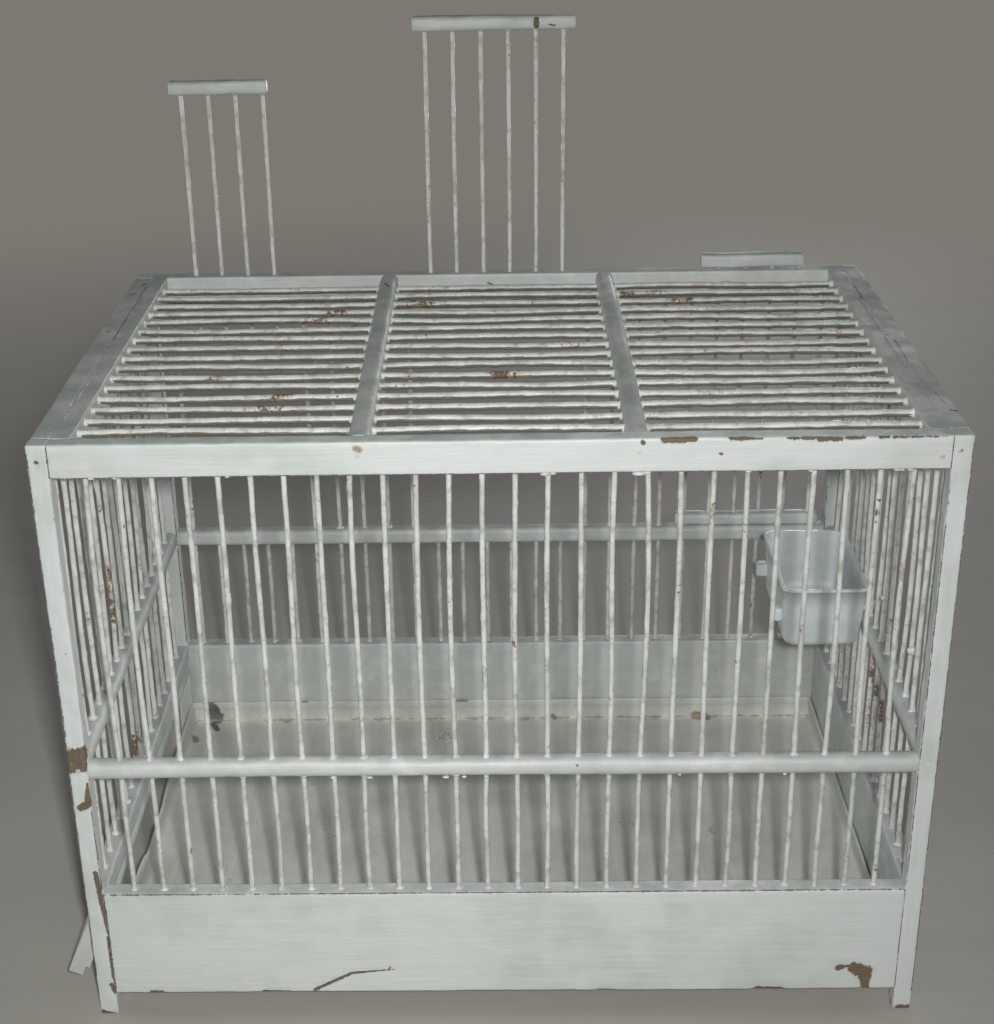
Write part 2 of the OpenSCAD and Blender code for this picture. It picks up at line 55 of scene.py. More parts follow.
# %% Camera
camera = bpy.data.cameras.new("front_camera")
camera.sensor_fit = "HORIZONTAL"
camera.sensor_width = 36
camera.lens = 61.2
camera.shift_x = 0.0221
camera.clip_start = 0.01
camera_object = bpy.data.objects.new("front_camera", camera)
camera_object.location = (0.0003, -0.8331, 0.6047)
camera_object.rotation_euler = np.radians([65.58, 0.905, 0.503])
bpy.context.scene.collection.objects.link(camera_object)
bpy.context.scene.camera = camera_object
bpy.context.scene.view_settings.view_transform = "Standard"
print("Lens:", camera.lens, "mm")

# %% [markdown]
# ## Light
# The main lamp stands close above the camera, so the fronts of the boards are bright, the flat roof only gets
# a slanting light, and the shadows fall behind and below. Low soft lamps at the sides and the back keep those
# views readable without lighting the roof, and a faint world fills the rest.

# %% Lamps
def lamp(name, place, target, size, power, spread):
    """Adds a square lamp with its -Z axis towards the target. spread is the width of its beam in degrees."""
    data = bpy.data.lights.new(name, "AREA")
    data.size = size
    data.energy = power
    data.spread = np.radians(spread)
    thing = bpy.data.objects.new(name, data)
    thing.location = place
    thing.rotation_euler = (Vector(target) - thing.location).to_track_quat("-Z", "Y").to_euler()
    bpy.context.scene.collection.objects.link(thing)


CAGE_MIDDLE = (0, 0, 0.24)
lamp("key_lamp", (0.035, -0.86, 0.635), (-0.1, 0, 0.06), 0.035, 2.72, 112)
lamp("left_lamp", (-1.9, 0.1, 0.24), CAGE_MIDDLE, 0.6, 1.6, 70)
lamp("right_lamp", (1.9, 0.1, 0.24), CAGE_MIDDLE, 0.6, 1.0, 70)
lamp("back_lamp", (0.5, 1.9, 0.24), CAGE_MIDDLE, 0.6, 2.4, 70)

# %% [markdown]
# ## Helpers for surfaces
# Every new piece is a grid of points: rings of a profile, one ring after another along a path. Each ring is
# joined to the next by four-sided faces, and the first and last rings are closed by a fan to a middle point.

# %% Meshes from grids
def ring_faces(rings, sides):
    """Faces (i, j), (i, j+1), (i+1, j+1), (i+1, j) between rings i and i+1, and fans to two end points."""
    i, j = np.meshgrid(np.arange(rings - 1) * sides, np.arange(sides), indexing="ij")
    k = (j + 1) % sides
    walls = np.stack([i + j, i + k, i + sides + k, i + sides + j], -1).reshape(-1, 4)
    j = np.arange(sides)
    k = (j + 1) % sides
    first, last = rings * sides, rings * sides + 1
    top = (rings - 1) * sides
    fans = np.concatenate([np.stack([k, j, np.full(sides, first)], -1),
                           np.stack([top + j, top + k, np.full(sides, last)], -1)])
    return walls.tolist() + fans.tolist()


def closed_rings(points):
    """Corners and faces of a tube from points (rings, sides, 3). Each end is closed to its middle point."""
    rings, sides = points.shape[:2]
    ends = np.stack([points[0].mean(0), points[-1].mean(0)])
    return np.concatenate([points.reshape(-1, 3), ends]), ring_faces(rings, sides)


def piece(name, parts, material, body, stands_for=()):
    """Joins (corners, faces) parts in one smooth mesh object that rides on a body."""
    corners, faces, start = [], [], 0
    for part_corners, part_faces in parts:
        corners.append(part_corners)
        faces += [[start + c for c in face] for face in part_faces]
        start += len(part_corners)
    mesh = bpy.data.meshes.new(name)
    mesh.from_pydata(np.concatenate(corners).tolist(), [], faces)
    mesh.polygons.foreach_set("use_smooth", np.ones(len(mesh.polygons), bool))
    mesh.materials.append(material)
    thing = bpy.data.objects.new(name, mesh)
    bpy.context.scene.collection.objects.link(thing)
    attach(thing, body)
    if stands_for:
        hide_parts(*stands_for)
    print(f"{name}: {len(faces)} faces")
    return thing


def box_of(node):
    """Lowest and highest corners of a CAD node, as arrays in metres."""
    low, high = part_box(node)
    return np.array(low), np.array(high)


def span(node, axis=2):
    """Where a CAD node starts and ends along an axis, in metres."""
    low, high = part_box(node)
    return low[axis], high[axis]

# %% [markdown]
# ## Helpers for finishes
# A finish is a small graph of shader nodes. A Field wraps the output of a node, so a formula such as
# 0.46 + stain * 0.14 adds its own Math nodes and reads as arithmetic. Effects that several finishes share are
# groups: brush strokes, marks where the paint has broken, specks of rust and the wood that shows below.

# %% Fields
def add(tree, kind, inputs=None, **settings):
    """Adds a shader node, applies its settings, and links or sets its inputs."""
    n = tree.nodes.new(kind)
    for key, value in settings.items():
        setattr(n, key, value)
    for key, value in (inputs or {}).items():
        if isinstance(value, Field):
            tree.links.new(value.socket, n.inputs[key])
        else:
            n.inputs[key].default_value = value
    return n


def result_of(kind, inputs, output=0, **settings):
    """A node made from fields in the tree they share, and the field that it gives."""
    tree = next(value.socket.id_data for value in inputs.values() if isinstance(value, Field))
    return Field(add(tree, kind, inputs, **settings).outputs[output])


def maths(operation, a, b, clamp=False):
    """One step of arithmetic on two fields or numbers."""
    return result_of("ShaderNodeMath", {0: a, 1: b}, operation=operation, use_clamp=clamp)


class Field:
    """A value that varies over the surface: the output of a shader node, which takes +, -, * and /."""

    def __init__(self, socket):
        self.socket = socket

    def __add__(self, other):
        return maths("ADD", self, other)

    def __radd__(self, other):
        return maths("ADD", other, self)

    def __sub__(self, other):
        return maths("SUBTRACT", self, other)

    def __rsub__(self, other):
        return maths("SUBTRACT", other, self)

    def __mul__(self, other):
        return maths("MULTIPLY", self, other)

    def __truediv__(self, other):
        return maths("DIVIDE", self, other)

# %% Node helpers
def vector_maths(operation, a, b=(0, 0, 0), output="Vector"):
    """One step of vector arithmetic."""
    return result_of("ShaderNodeVectorMath", {0: a, 1: b}, output, operation=operation)


def stretch(vector, scale):
    """The vector times a scale along each axis."""
    return vector_maths("MULTIPLY", vector, scale)


def noise(vector, scale, detail=3.0, rough=0.5):
    """Smooth noise from 0 to 1."""
    inputs = {"Vector": vector, "Scale": scale, "Detail": detail, "Roughness": rough}
    return result_of("ShaderNodeTexNoise", inputs, "Fac")


def ramp(value, low, high):
    """0 below low and 1 above high, with a smooth rise between them. high may be the smaller one."""
    if not isinstance(value, Field):
        share = np.clip((value - low) / (high - low), 0, 1)
        return float(share * share * (3 - 2 * share))
    return result_of("ShaderNodeMapRange", {"Value": value, "From Min": low, "From Max": high}, "Result",
                     interpolation_type="SMOOTHSTEP")


def blend(mask, a, b):
    """Colour a where the mask is 0 and colour b where it is 1."""
    return result_of("ShaderNodeMix", {0: mask, 6: a, 7: b}, 2, data_type="RGBA")


def colour(r, g, b):
    """A colour from 0 to 255 display values, turned into the linear values that shaders use."""
    c = np.array([r, g, b]) / 255
    linear = np.where(c <= 0.04045, c / 12.92, ((c + 0.055) / 1.055) ** 2.4)
    return (*linear.tolist(), 1.0)


def cover(paint, mask, share, tint):
    """The paint under a tint (display values), which hides at most a share of it, where the mask is 1."""
    return blend(mask * share, paint, colour(*tint))


def part_of(vector, axis):
    """The X, Y or Z of a vector (axis 0, 1 or 2)."""
    return result_of("ShaderNodeSeparateXYZ", {0: vector}, axis)


def upward(material):
    """How far the surface faces up: 1 on top, 0 on the sides, -1 below."""
    geometry = add(material.node_tree, "ShaderNodeNewGeometry")
    return part_of(Field(geometry.outputs["Normal"]), 2)


def group(name, inputs, outputs):
    """A new node group, its input fields and its outputs.

    inputs are (name, socket type, default value) and outputs are (name, socket type).
    """
    tree = bpy.data.node_groups.new(name, "ShaderNodeTree")
    for label, kind, value in inputs:
        socket = tree.interface.new_socket(label, in_out="INPUT", socket_type=kind)
        if value is not None:
            socket.default_value = value
    for label, kind in outputs:
        tree.interface.new_socket(label, in_out="OUTPUT", socket_type=kind)
    given = tree.nodes.new("NodeGroupInput").outputs
    return tree, {label: Field(given[label]) for label, *_ in inputs}, tree.nodes.new("NodeGroupOutput")


def feed(node, **fields):
    """Links fields to a node's inputs. An underscore in a name stands for a space."""
    for label, field in fields.items():
        node.id_data.links.new(field.socket, node.inputs[label.replace("_", " ")])


def use(shared, output, **inputs):
    """Places a shared group in the tree of its fields, and gives one of its outputs."""
    return result_of("ShaderNodeGroup", inputs, output, node_tree=shared)


def new_finish(name):
    """A new material, its shader and the place of each point in the cage's frame."""
    material = bpy.data.materials.new(name)
    material.use_nodes = True
    tree = material.node_tree
    place = Field(add(tree, "ShaderNodeTexCoord").outputs["Object"])
    return material, tree.nodes["Principled BSDF"], place


def coat(shader, paint, rough, height, strength, depth):
    """Gives the shader its colour, its roughness and a relief whose depth is in metres."""
    bump = result_of("ShaderNodeBump", {"Height": height, "Strength": strength, "Distance": depth}, "Normal")
    feed(shader, Base_Color=paint, Roughness=rough, Normal=bump)

# %% Shared effects
FLOAT, VECTOR, COLOUR = "NodeSocketFloat", "NodeSocketVector", "NodeSocketColor"
PLACE, STRETCH = ("Vector", VECTOR, None), ("Stretch", VECTOR, (1, 1, 1))

# Brush strokes: noise drawn out along the batten, with low lumps where thick paint has sagged.
strokes, i, o = group("brush_strokes", [PLACE, STRETCH], [("Height", FLOAT), ("Shade", FLOAT)])
drawn = stretch(i["Vector"], i["Stretch"])
fine, lumps = noise(drawn, 900, 4, 0.6), noise(i["Vector"], 170, 2, 0.5)
feed(o, Height=fine * 0.55 + lumps * 0.45, Shade=noise(drawn, 260, 3, 0.55))

# A mark in the paint, from one point to another: a value below 1 inside it, above 1 outside it. It is the
# distance to the line between the points over a width that may run out towards the end, plus a ragged share.
# Nearest is the reach of the marks before it, so a chain of marks gives the smallest reach of all.
mark, i, o = group("paint_mark", [PLACE, ("From", VECTOR, (0, 0, 0)), ("To", VECTOR, (0, 0, 1)),
                                  ("Width", FLOAT, 0.001), ("Taper", FLOAT, 0.3), ("Rag", FLOAT, 0),
                                  ("Nearest", FLOAT, 9)], [("Reach", FLOAT)])
line = vector_maths("SUBTRACT", i["To"], i["From"])
start = vector_maths("SUBTRACT", i["Vector"], i["From"])
length = vector_maths("DOT_PRODUCT", line, line, "Value") + 1e-10
share = maths("DIVIDE", vector_maths("DOT_PRODUCT", start, line, "Value"), length, clamp=True)
scaled = result_of("ShaderNodeVectorMath", {0: line, "Scale": share}, "Vector", operation="SCALE")
apart = vector_maths("DISTANCE", start, scaled, "Value")
reach = apart / (i["Width"] * (1 - share * i["Taper"])) + i["Rag"]
feed(o, Reach=maths("MINIMUM", reach, i["Nearest"]))

# Specks: small grains that only appear where a slow noise is high, as rust and dirt do.
specks, i, o = group("specks", [PLACE, ("Grain", FLOAT, 700), ("Patches", FLOAT, 25), ("Spread", FLOAT, 0.5)],
                     [("Mask", FLOAT)])
grains, patches = noise(i["Vector"], i["Grain"], 3, 0.6), noise(i["Vector"], i["Patches"], 2, 0.5)
total = grains * 0.5 + patches * 0.5
edge = 0.78 - i["Spread"] * 0.3
feed(o, Mask=ramp(total, edge, edge + 0.035))

# Bare wood: brown, with grain lines along the batten.
wood, i, o = group("bare_wood", [PLACE, STRETCH], [("Color", COLOUR)])
grain = noise(stretch(i["Vector"], i["Stretch"]), 1400, 3, 0.6)
feed(o, Color=blend(grain, colour(64, 55, 43), colour(140, 122, 98)))
print("Shared groups:", [g.name for g in bpy.data.node_groups])

# %% [markdown]
# ## Old white enamel on wood
# The battens were brushed with white enamel more than once. It has gone slightly grey-green, and the upper
# faces are greyed as dust and as painted shade; some battens carry a blotchy grey that is soil and painted
# shade.
# The paint has broken off in places along the edges, where the brown wood shows, with a painted shadow and a
# painted highlight at the broken paint. Each break is a mark from one point to another on the cage, so the
# same few nodes make them all.

# %% Painted wood finish
def reach_of(where, marks, rag):
    """The smallest reach of all the marks, each given as (from, to, width, taper) in millimetres."""
    nearest = 9.0
    for start, end, width, taper in marks:
        nearest = use(mark, "Reach", Vector=where, From=[v * MM for v in start], To=[v * MM for v in end],
                      Width=width * MM, Taper=taper, Rag=rag, Nearest=nearest)
    return nearest


def ragged(where, amount):
    """Three sizes of noise about zero, which make the outline of a mark ragged."""
    total = noise(where, 260, 3, 0.6) - 0.5
    for scale, share in ((900, 0.8), (2600, 0.5)):
        total = total + (noise(where, scale, 2, 0.6) - 0.5) * share
    return total * amount


def painted_wood(name, along, breaks, cracks, stains=(), soil_and_shade=0.0, top_dust_and_shade=0.65):
    """White enamel brushed along one axis (0, 1 or 2), with breaks that show wood, dark cracks and rust stains.

    soil_and_shade is how much blotchy grey lies on it: soil from perching and handling, and painted shade.
    top_dust_and_shade is how much grey lies on its top: dust, and painted shade that darkens the upper faces.
    """
    material, shader, where = new_finish(name)
    scale = [1.0, 1.0, 1.0]
    scale[along] = 0.06
    brush = use(strokes, "Height", Vector=where, Stretch=scale)
    shade = Field(brush.socket.node.outputs["Shade"])
    stain = ramp(noise(where, 17, 3, 0.6), 0.42, 0.7)
    paint = blend(stain, colour(206, 211, 207), colour(188, 194, 188))
    paint = cover(paint, ramp(shade, 0.35, 0.7), 0.3, (218, 222, 219))
    # Grey on the upper faces: dust, and painted shade that darkens the tops.
    dust = ramp(upward(material), 0.5, 0.95) * ramp(noise(where, 45, 4, 0.65), 0.3, 0.7)
    paint = cover(paint, dust, top_dust_and_shade, (150, 160, 160))
    # A blotchy grey over the whole piece: soil from handling, and painted shade.
    paint = cover(paint, ramp(noise(where, 75, 4, 0.65), 0.15, 0.6), soil_and_shade, (146, 149, 141))
    dirt = use(specks, "Mask", Vector=where, Grain=520, Patches=30, Spread=0.3)
    paint = cover(paint, dirt, 0.5, (124, 108, 84))
    rag = ragged(where, 1.1)
    if stains:
        paint = cover(paint, ramp(reach_of(where, stains, rag), 1.5, 0.5), 0.75, (142, 98, 62))

    # A break shows wood inside its reach of 1. Round it, lifted flakes are raised and painted lighter as a
    # highlight, and just outside it a dark lip is a painted shadow under the broken paint.
    reach = reach_of(where, breaks, rag)
    worn = ramp(reach, 1.0, 0.9)
    flake_and_highlight = reach + noise(where, 640, 2) * 1.1
    flake_and_highlight = ramp(flake_and_highlight, 2.05, 1.75) * ramp(reach, 1.08, 1.2)
    # Lifted flakes: raised relief with a painted highlight.
    paint = cover(paint, flake_and_highlight, 0.8, (226, 229, 224))
    # The dark lip: a painted shadow under the broken edge of the paint.
    paint = cover(paint, ramp(reach, 1.16, 1.04), 0.7, (84, 78, 66))
    crack = ramp(reach_of(where, cracks, rag * 2.4), 1.0, 0.7)
    paint = cover(paint, crack, 0.85, (72, 67, 57))
    paint = blend(worn, paint, use(wood, "Color", Vector=where, Stretch=scale))
    rough = 0.46 + stain * 0.14 + dust * 0.2 + worn * 0.35
    high = brush * 0.7 - maths("MAXIMUM", worn, crack) + flake_and_highlight * 0.35
    coat(shader, paint, rough, high, 0.7, 0.0008)
    return material


# %% [markdown]
# Nearly every break and crack lies in one upright or level plane of a batten, so it is written as a row in that
# plane: where it starts, where it ends, its width and how far it tapers.

# %% Marks in the paint of the battens
def upright(y, rows):
    """Marks in an upright plane at y, from rows of (x, z, x, z, width, taper) in millimetres."""
    return [((a, y, b), (c, y, d), width, taper) for a, b, c, d, width, taper in rows]


def level(z, rows):
    """Marks in a level plane at z, from rows of (x, y, x, y, width, taper) in millimetres."""
    return [((a, b, z), (c, d, z), width, taper) for a, b, c, d, width, taper in rows]


FACE = -135
top_rail_breaks = upright(FACE, [
    (74, 322.5, 87, 322.3, 1.9, 0), (104, 322.6, 117, 322.4, 1.5, 0.3), (129, 322.8, 162, 322.6, 1.4, 0),
    (143, 321.9, 152, 322, 1.6, 0), (170, 322.8, 199, 322.6, 1.2, 0.3), (64.4, 321, 64.6, 320.6, 0.9, 0),
    (99, 314.9, 99.8, 314.7, 0.6, 0)])
top_rail_cracks = upright(FACE, [(-202.5, 322.3, -202.5, 306, 0.42, 0), (202.5, 322.3, 202.5, 306, 0.3, 0)])
top_rail_cracks += upright(-134.6, [(-202, 306.4, 202, 306.4, 0.3, 0)])
rail_stain = upright(FACE, [(-63.6, 319.3, -62.4, 318.6, 1.6, 0)])
board_breaks = upright(FACE, [
    (-98.5, 15.2, -78.7, 25.9, 0.95, 0.1), (-78.7, 25.9, -57, 28, 0.75, 0.5),
    (-60, 27.2, -58.6, 29.4, 0.7, 0.3), (181, 26.8, 186, 25.2, 3.6, 0), (186.3, 24, 187, 16.5, 3.1, 0.2),
    (172.6, 27.2, 174, 27.6, 1.6, 0),
    (174, 27.8, 179, 28.6, 0.7, 0), (-184, 14.6, -178, 14.8, 0.8, 0.3), (-125, 14.2, -112, 14.2, 0.9, 0.3),
    (49, 13.8, 56, 13.8, 0.8, 0.3), (131, 13.6, 144, 13.6, 1.9, 0.2)])
board_cracks = upright(FACE, [(-202.5, 76.4, -202.5, 14, 0.4, 0), (202.5, 76.4, 202.5, 14, 0.28, 0)])
board_cracks += upright(-134.6, [(-202, 76.2, 202, 76.2, 0.4, 0), (-202, 13.9, 202, 13.9, 0.4, 0)])
rail_breaks = upright(FACE, [(36.6, 152, 36.8, 151.4, 0.6, 0)])
rail_breaks += upright(126, [(23.9, 469, 23.3, 459.5, 1.7, 0.1), (31, 463.5, 40, 462, 0.8, 0.6)])
rail_cracks = upright(125.8, [(-201, 306.6, 201, 306.6, 0.3, 0)])
rail_cracks += upright(125.6, [(-5, 317, -2, 316, 0.5, 0)]) + upright(125.5, [(148, 313, 151, 312.6, 1.2, 0.4)])
left_post_breaks = upright(FACE, [
    (-211.5, 158, -203, 160, 4.2, 0), (-211.5, 151.5, -203.5, 153, 2.6, 0),
    (-212.4, 152, -211.8, 147, 0.9, 0.4), (-203.4, 143, -204.4, 131, 0.7, -1.6),
    (-208.2, 129.4, -205.6, 130.6, 1.7, -0.3),
    (-205.2, 90, -204.2, 73, 1.3, 0.2), (-204.2, 73, -202.9, 54, 1.0, 0.3), (-203.2, 50, -203.4, 24, 0.6, 0.3),
    (-204.3, 19.3, -202.9, 14, 1.1, 0), (-211, 1, -203, -1, 1.8, 0.3), (-207.7, 314.3, -207.3, 314, 0.9, 0),
    (-212.3, 280, -212.3, 255, 0.5, 0.6), (-212.2, 215, -212.2, 196, 0.6, 0.3)])
left_post_cracks = upright(-134.7, [
    (-211.7, 25, -211.7, 150, 0.45, 0), (-211.7, 165, -211.7, 232, 0.8, 0), (-211.7, 232, -211.7, 318, 0.5, 0)])
left_post_cracks += upright(FACE, [(-202.5, 322.3, -202.5, 306, 0.45, 0)])
left_post_cracks += upright(-134.8, [
    (-202.6, 300, -202.6, 240, 0.35, 0.5), (-202.8, 76.4, -202.8, 14, 0.5, 0), (-203, 140, -203, 80, 0.4, 0)])
right_post_breaks = [((209, FACE, -2), (206, -131, -1), 4.3, 0)] + upright(FACE, [
    (212.2, 90, 212.2, 86, 0.9, 0.3), (212.2, 159, 212.2, 152, 0.8, 0.3), (212.3, 243, 212.3, 236, 0.8, 0.3),
    (212.3, 285, 212.3, 276, 0.7, 0.5), (207, 30.3, 207.2, 29.9, 0.5, 0)])
right_post_cracks = upright(-134.7, [(211.7, 12, 211.7, 318, 0.5, 0)])
right_post_cracks += upright(FACE, [(202.5, 322.3, 202.5, 306, 0.3, 0), (202.5, 76.4, 202.5, 14, 0.28, 0)])
right_post_cracks += upright(-134.8, [(202.8, 300, 202.8, 80, 0.35, 0.2)])
rear_post_cracks = upright(125.8, [(-202.8, 300, -202.8, 80, 0.4, 0), (202.8, 300, 202.8, 80, 0.4, 0)])
cross_breaks = level(322.5, [
    (-208, 25.9, -207.2, 26.6, 0.9, 0), (-208, 94, -206.6, 95, 0.9, 0), (-205.6, 111, -204, 114, 0.8, 0),
    (208.5, -103.7, 212.3, -105.2, 0.8, 0), (-62, 104.5, -64.8, 110.5, 0.9, 0.2)])
cross_breaks += level(322, [(-212.3, -60, -212.3, -90, 0.5, 0.4)])
cross_cracks = level(322.4, [
    (-202.7, 112, -202.1, 12, 0.35, 0), (202, 94, 202.5, 71, 0.4, 0.3), (204.6, -3, 203.7, -37, 0.35, 0.2),
    (206.8, -80, 207.8, -97, 0.4, 0.3)])
cross_cracks += level(322.1, [(-211.6, 130, -211.6, -130, 0.3, 0), (211.6, 130, 211.6, -130, 0.3, 0)])

# %% Finishes of the battens
top_rail_paint = painted_wood("enamel_on_front_top_rail", 0, top_rail_breaks, top_rail_cracks, rail_stain)
board_paint = painted_wood("enamel_on_front_board", 0, board_breaks, board_cracks)
paint_x = painted_wood("enamel_along_x", 0, rail_breaks, rail_cracks, soil_and_shade=0.32)
paint_y = painted_wood("enamel_along_y", 1, cross_breaks, cross_cracks, soil_and_shade=0.34, top_dust_and_shade=0.85)
paint_z = painted_wood("enamel_along_z", 2, (), rear_post_cracks)
left_post_paint = painted_wood("enamel_on_front_left_post", 2, left_post_breaks, left_post_cracks)
right_post_paint = painted_wood("enamel_on_front_right_post", 2, right_post_breaks, right_post_cracks)
print("Enamel finishes:", paint_x.name, paint_y.name, paint_z.name)

# %% [markdown]
# ## Enamel on wire
# The same paint on steel wire looks different: it runs into drops, and rust comes through in brown specks.
# The specks are thick in a few clusters, where damp sat on the wires, and rare elsewhere.

# %% Painted wire finish
def painted_wire(name, rust, clusters=(), under=0.0):
    """White enamel over wire. rust is the spread of the specks, clusters are marks full of them, and under is
    how dark the painted shade and dirt are on the underside of level wires."""
    material, shader, where = new_finish(name)
    paint = blend(ramp(noise(where, 60, 3, 0.6), 0.35, 0.7), colour(212, 214, 209), colour(188, 190, 183))
    if under:
        # Painted shade on the undersides of level wires, dark brown-grey, partly dirt.
        low = upward(material) + noise(stretch(where, (0.5, 1, 1)), 200, 3, 0.65)
        paint = cover(paint, ramp(low, 0.8, 0.45), under, (92, 86, 74))
    paint = cover(paint, ramp(noise(where, 150, 4, 0.65), 0.5, 0.66), 0.42, (128, 124, 113))
    spread = rust
    if clusters:
        spread = rust + ramp(reach_of(where, clusters, ragged(where, 0.6)), 1.3, 0.3) * 0.37
    rusty = use(specks, "Mask", Vector=where, Grain=520, Patches=40, Spread=spread)
    halo = use(specks, "Mask", Vector=where, Grain=260, Patches=40, Spread=spread + 0.1)
    paint = cover(paint, halo, 0.5, (160, 128, 88))
    brown = blend(noise(where, 1500, 2), colour(58, 44, 32), colour(116, 84, 54))
    paint = blend(rusty * 0.85, paint, brown)
    coat(shader, paint, 0.38 + rusty * 0.4, noise(where, 650, 3) - rusty * 0.5, 0.7, 0.0006)
    return material


wall_clusters = [
    ((-207, -36, 214), (-207, -40, 186), 9, 0), ((-207, 31, 220), (-207, 30, 205), 6, 0),
    ((-207, -22, 98), (-207, -26, 90), 6, 0), ((207, -10, 128), (207, -40, 122), 8, 0),
]
ROOF = 318.3
roof_clusters = [((start, y, ROOF), (end, y, ROOF), width, 0) for start, end, y, width in [
    (-45, -36, -36.9, 4.5), (-30, -20, -36.9, 3), (0, 3, -36.9, 3.5), (11, 25, -36.9, 4.5),
    (-153, -149, 22.1, 5), (-169, -165, -7.4, 5), (-143, -139, -36.9, 4.5), (-107, -101, -66.4, 4.5),
    (-111, -105, -81.2, 4.5),
    (-167, -158, -96, 4.5), (-137, -132, -110.7, 4), (-106, -98, 51.7, 7), (-92, -86, 66.4, 5),
    (-136, -130, 51.7, 4.5), (-48, -38, 81.2, 5), (66, 76, 96, 4), (97, 108, 81.2, 4), (105, 112, 36.9, 4),
    (130, 137, -7.4, 4.5), (120, 154, -22.1, 3.5), (168, 176, -51.7, 4)]]
wire_paint = painted_wire("enamel_on_wire", 0.46)
rusty_wire_paint = painted_wire("rusty_enamel_on_wire", 0.49, wall_clusters)
# The roof wires get painted shade on their undersides, with some dirt.
roof_wire_paint = painted_wire("dirty_enamel_on_roof_wire_with_painted_shade", 0.46, roof_clusters, 0.9)
print("Wire finishes:", wire_paint.name, rusty_wire_paint.name, roof_wire_paint.name)

# %% [markdown]
# ## Wires
# A wire is a circle carried along a nearly straight path. Hand-set wires are never quite straight, so each
# bends a little between its supports, and the brushed paint makes its thickness wander and leaves drops.

# %% Wires
WIRE_R = 1.3 * MM


def wires(starts, ends, across, supports, bow=0.45, seed=1, sides=10, step=2.2 * MM, drops=4, bare=WIRE_R):
    """Corners and faces of a set of wires, all of one length.

    With s from 0 to 1 along a wire, its middle is start + s (end - start), plus sideways a sine that is zero
    at each support. Its radius is the bare radius, plus slow and quick waves along and round it, plus drops:
    bells exp(-(distance / width) squared) on one side.
    """
    rng = np.random.default_rng(seed)
    starts, ends = np.asarray(starts, float), np.asarray(ends, float)
    number, length = len(starts), np.linalg.norm(ends[0] - starts[0])
    rings = int(length / step) + 2
    s = np.linspace(0, 1, rings)
    middle = starts[:, None] + s[None, :, None] * (ends - starts)[:, None]
    a, b = (np.asarray(v, float) for v in across)
    for low, high in zip(supports[:-1], supports[1:]):
        u = np.clip((s - low) / (high - low), 0, 1)
        reach = bow * MM * (high - low) * length / 0.15
        for side in (a, b):
            size = rng.normal(0, reach, number)
            second = rng.normal(0, reach * 0.35, number)
            bend = size[:, None] * np.sin(np.pi * u) + second[:, None] * np.sin(2 * np.pi * u)
            middle += bend[..., None] * side
    turn = 2 * np.pi * np.arange(sides) / sides
    along = s[None, :, None] * length
    phase = rng.uniform(0, 2 * np.pi, (4, number, 1, 1))
    radius = bare + 0.05 * MM * np.sin(along / (9 * MM) + phase[0]) \
        + 0.05 * MM * np.sin(along / (3.1 * MM) + turn + phase[1]) \
        + 0.04 * MM * np.sin(along / (1.7 * MM) + 2 * turn + phase[2])
    for _ in range(drops):
        place = rng.uniform(0, length, (number, 1, 1))
        width = rng.uniform(0.8, 2.2, (number, 1, 1)) * MM
        size = np.abs(rng.normal(0, 0.28, (number, 1, 1))) * MM
        side = 0.5 + 0.5 * np.cos(turn - rng.uniform(0, 2 * np.pi, (number, 1, 1)))
        radius = radius + size * np.exp(-((along - place) / width) ** 2) * side
    ring = np.cos(turn)[:, None] * a + np.sin(turn)[:, None] * b
    points = middle[:, :, None] + radius[..., None] * ring
    return [closed_rings(p) for p in points]


def uprights(xs, ys, low, high, supports, **options):
    """Upright wires at the places (x, y), with supports at given heights."""
    xs, ys = np.broadcast_arrays(xs, ys)
    starts = np.column_stack([xs, ys, np.full(len(xs), low)])
    ends = np.column_stack([xs, ys, np.full(len(xs), high)])
    marks = [0] + [(z - low) / (high - low) for z in supports] + [1]
    return wires(starts, ends, ((1, 0, 0), (0, 1, 0)), marks, **options)


def spaced(node, axis, count):
    """Middles of evenly spaced wires between a node's first and last wire."""
    low, high = span(node, axis)
    return np.linspace(low + WIRE_R, high - WIRE_R, count)


board_top = span("front_base_board")[1]
mid_low, mid_high = span("left_mid_rail")
front_low, front_high = span("front_mid_rail")
top_low = span("front_top_rail")[0]
wall_y = sum(span("rear_top_rail", 1)) / 2
wall_x = sum(span("right_top_rail", 0)) / 2
front_places = spaced("front_wires", 0, 26)
side_places = spaced("left_wires", 1, 16)
rear_places = spaced("rear_long_wires", 0, 26)
door_wires = {"left": [1, 2, 3, 4], "middle": [10, 11, 12, 13, 14, 15], "right": [21, 22, 23, 24]}
short_places = rear_places[sum(door_wires.values(), [])]
long_places = np.array([x for x in rear_places if x not in short_places])
wire_low, wire_high = span("front_wires")
short_high = span("rear_short_wires")[1]
stops = [board_top, mid_low, mid_high, top_low]
front_stops = [board_top, front_low, front_high, top_low]
for number, (name, node, xs, ys, high, supports, bow) in enumerate([
        ("front_wall_wires", "front_wires", front_places, -wall_y, wire_high, front_stops, 0.55),
        ("left_wall_wires", "left_wires", -wall_x, side_places, wire_high, stops, 0.6),
        ("right_wall_wires", "right_wires", wall_x, side_places, wire_high, stops, 0.6),
        ("rear_wall_long_wires", "rear_long_wires", long_places, wall_y, wire_high, stops, 0.3),
        ("rear_wall_short_wires", "rear_short_wires", short_places, wall_y, short_high, stops[:2], 0.45)]):
    piece(name, uprights(xs, ys, wire_low, high, supports, seed=3 + number, bow=bow),
          rusty_wire_paint if number else wire_paint, "frame", [node])

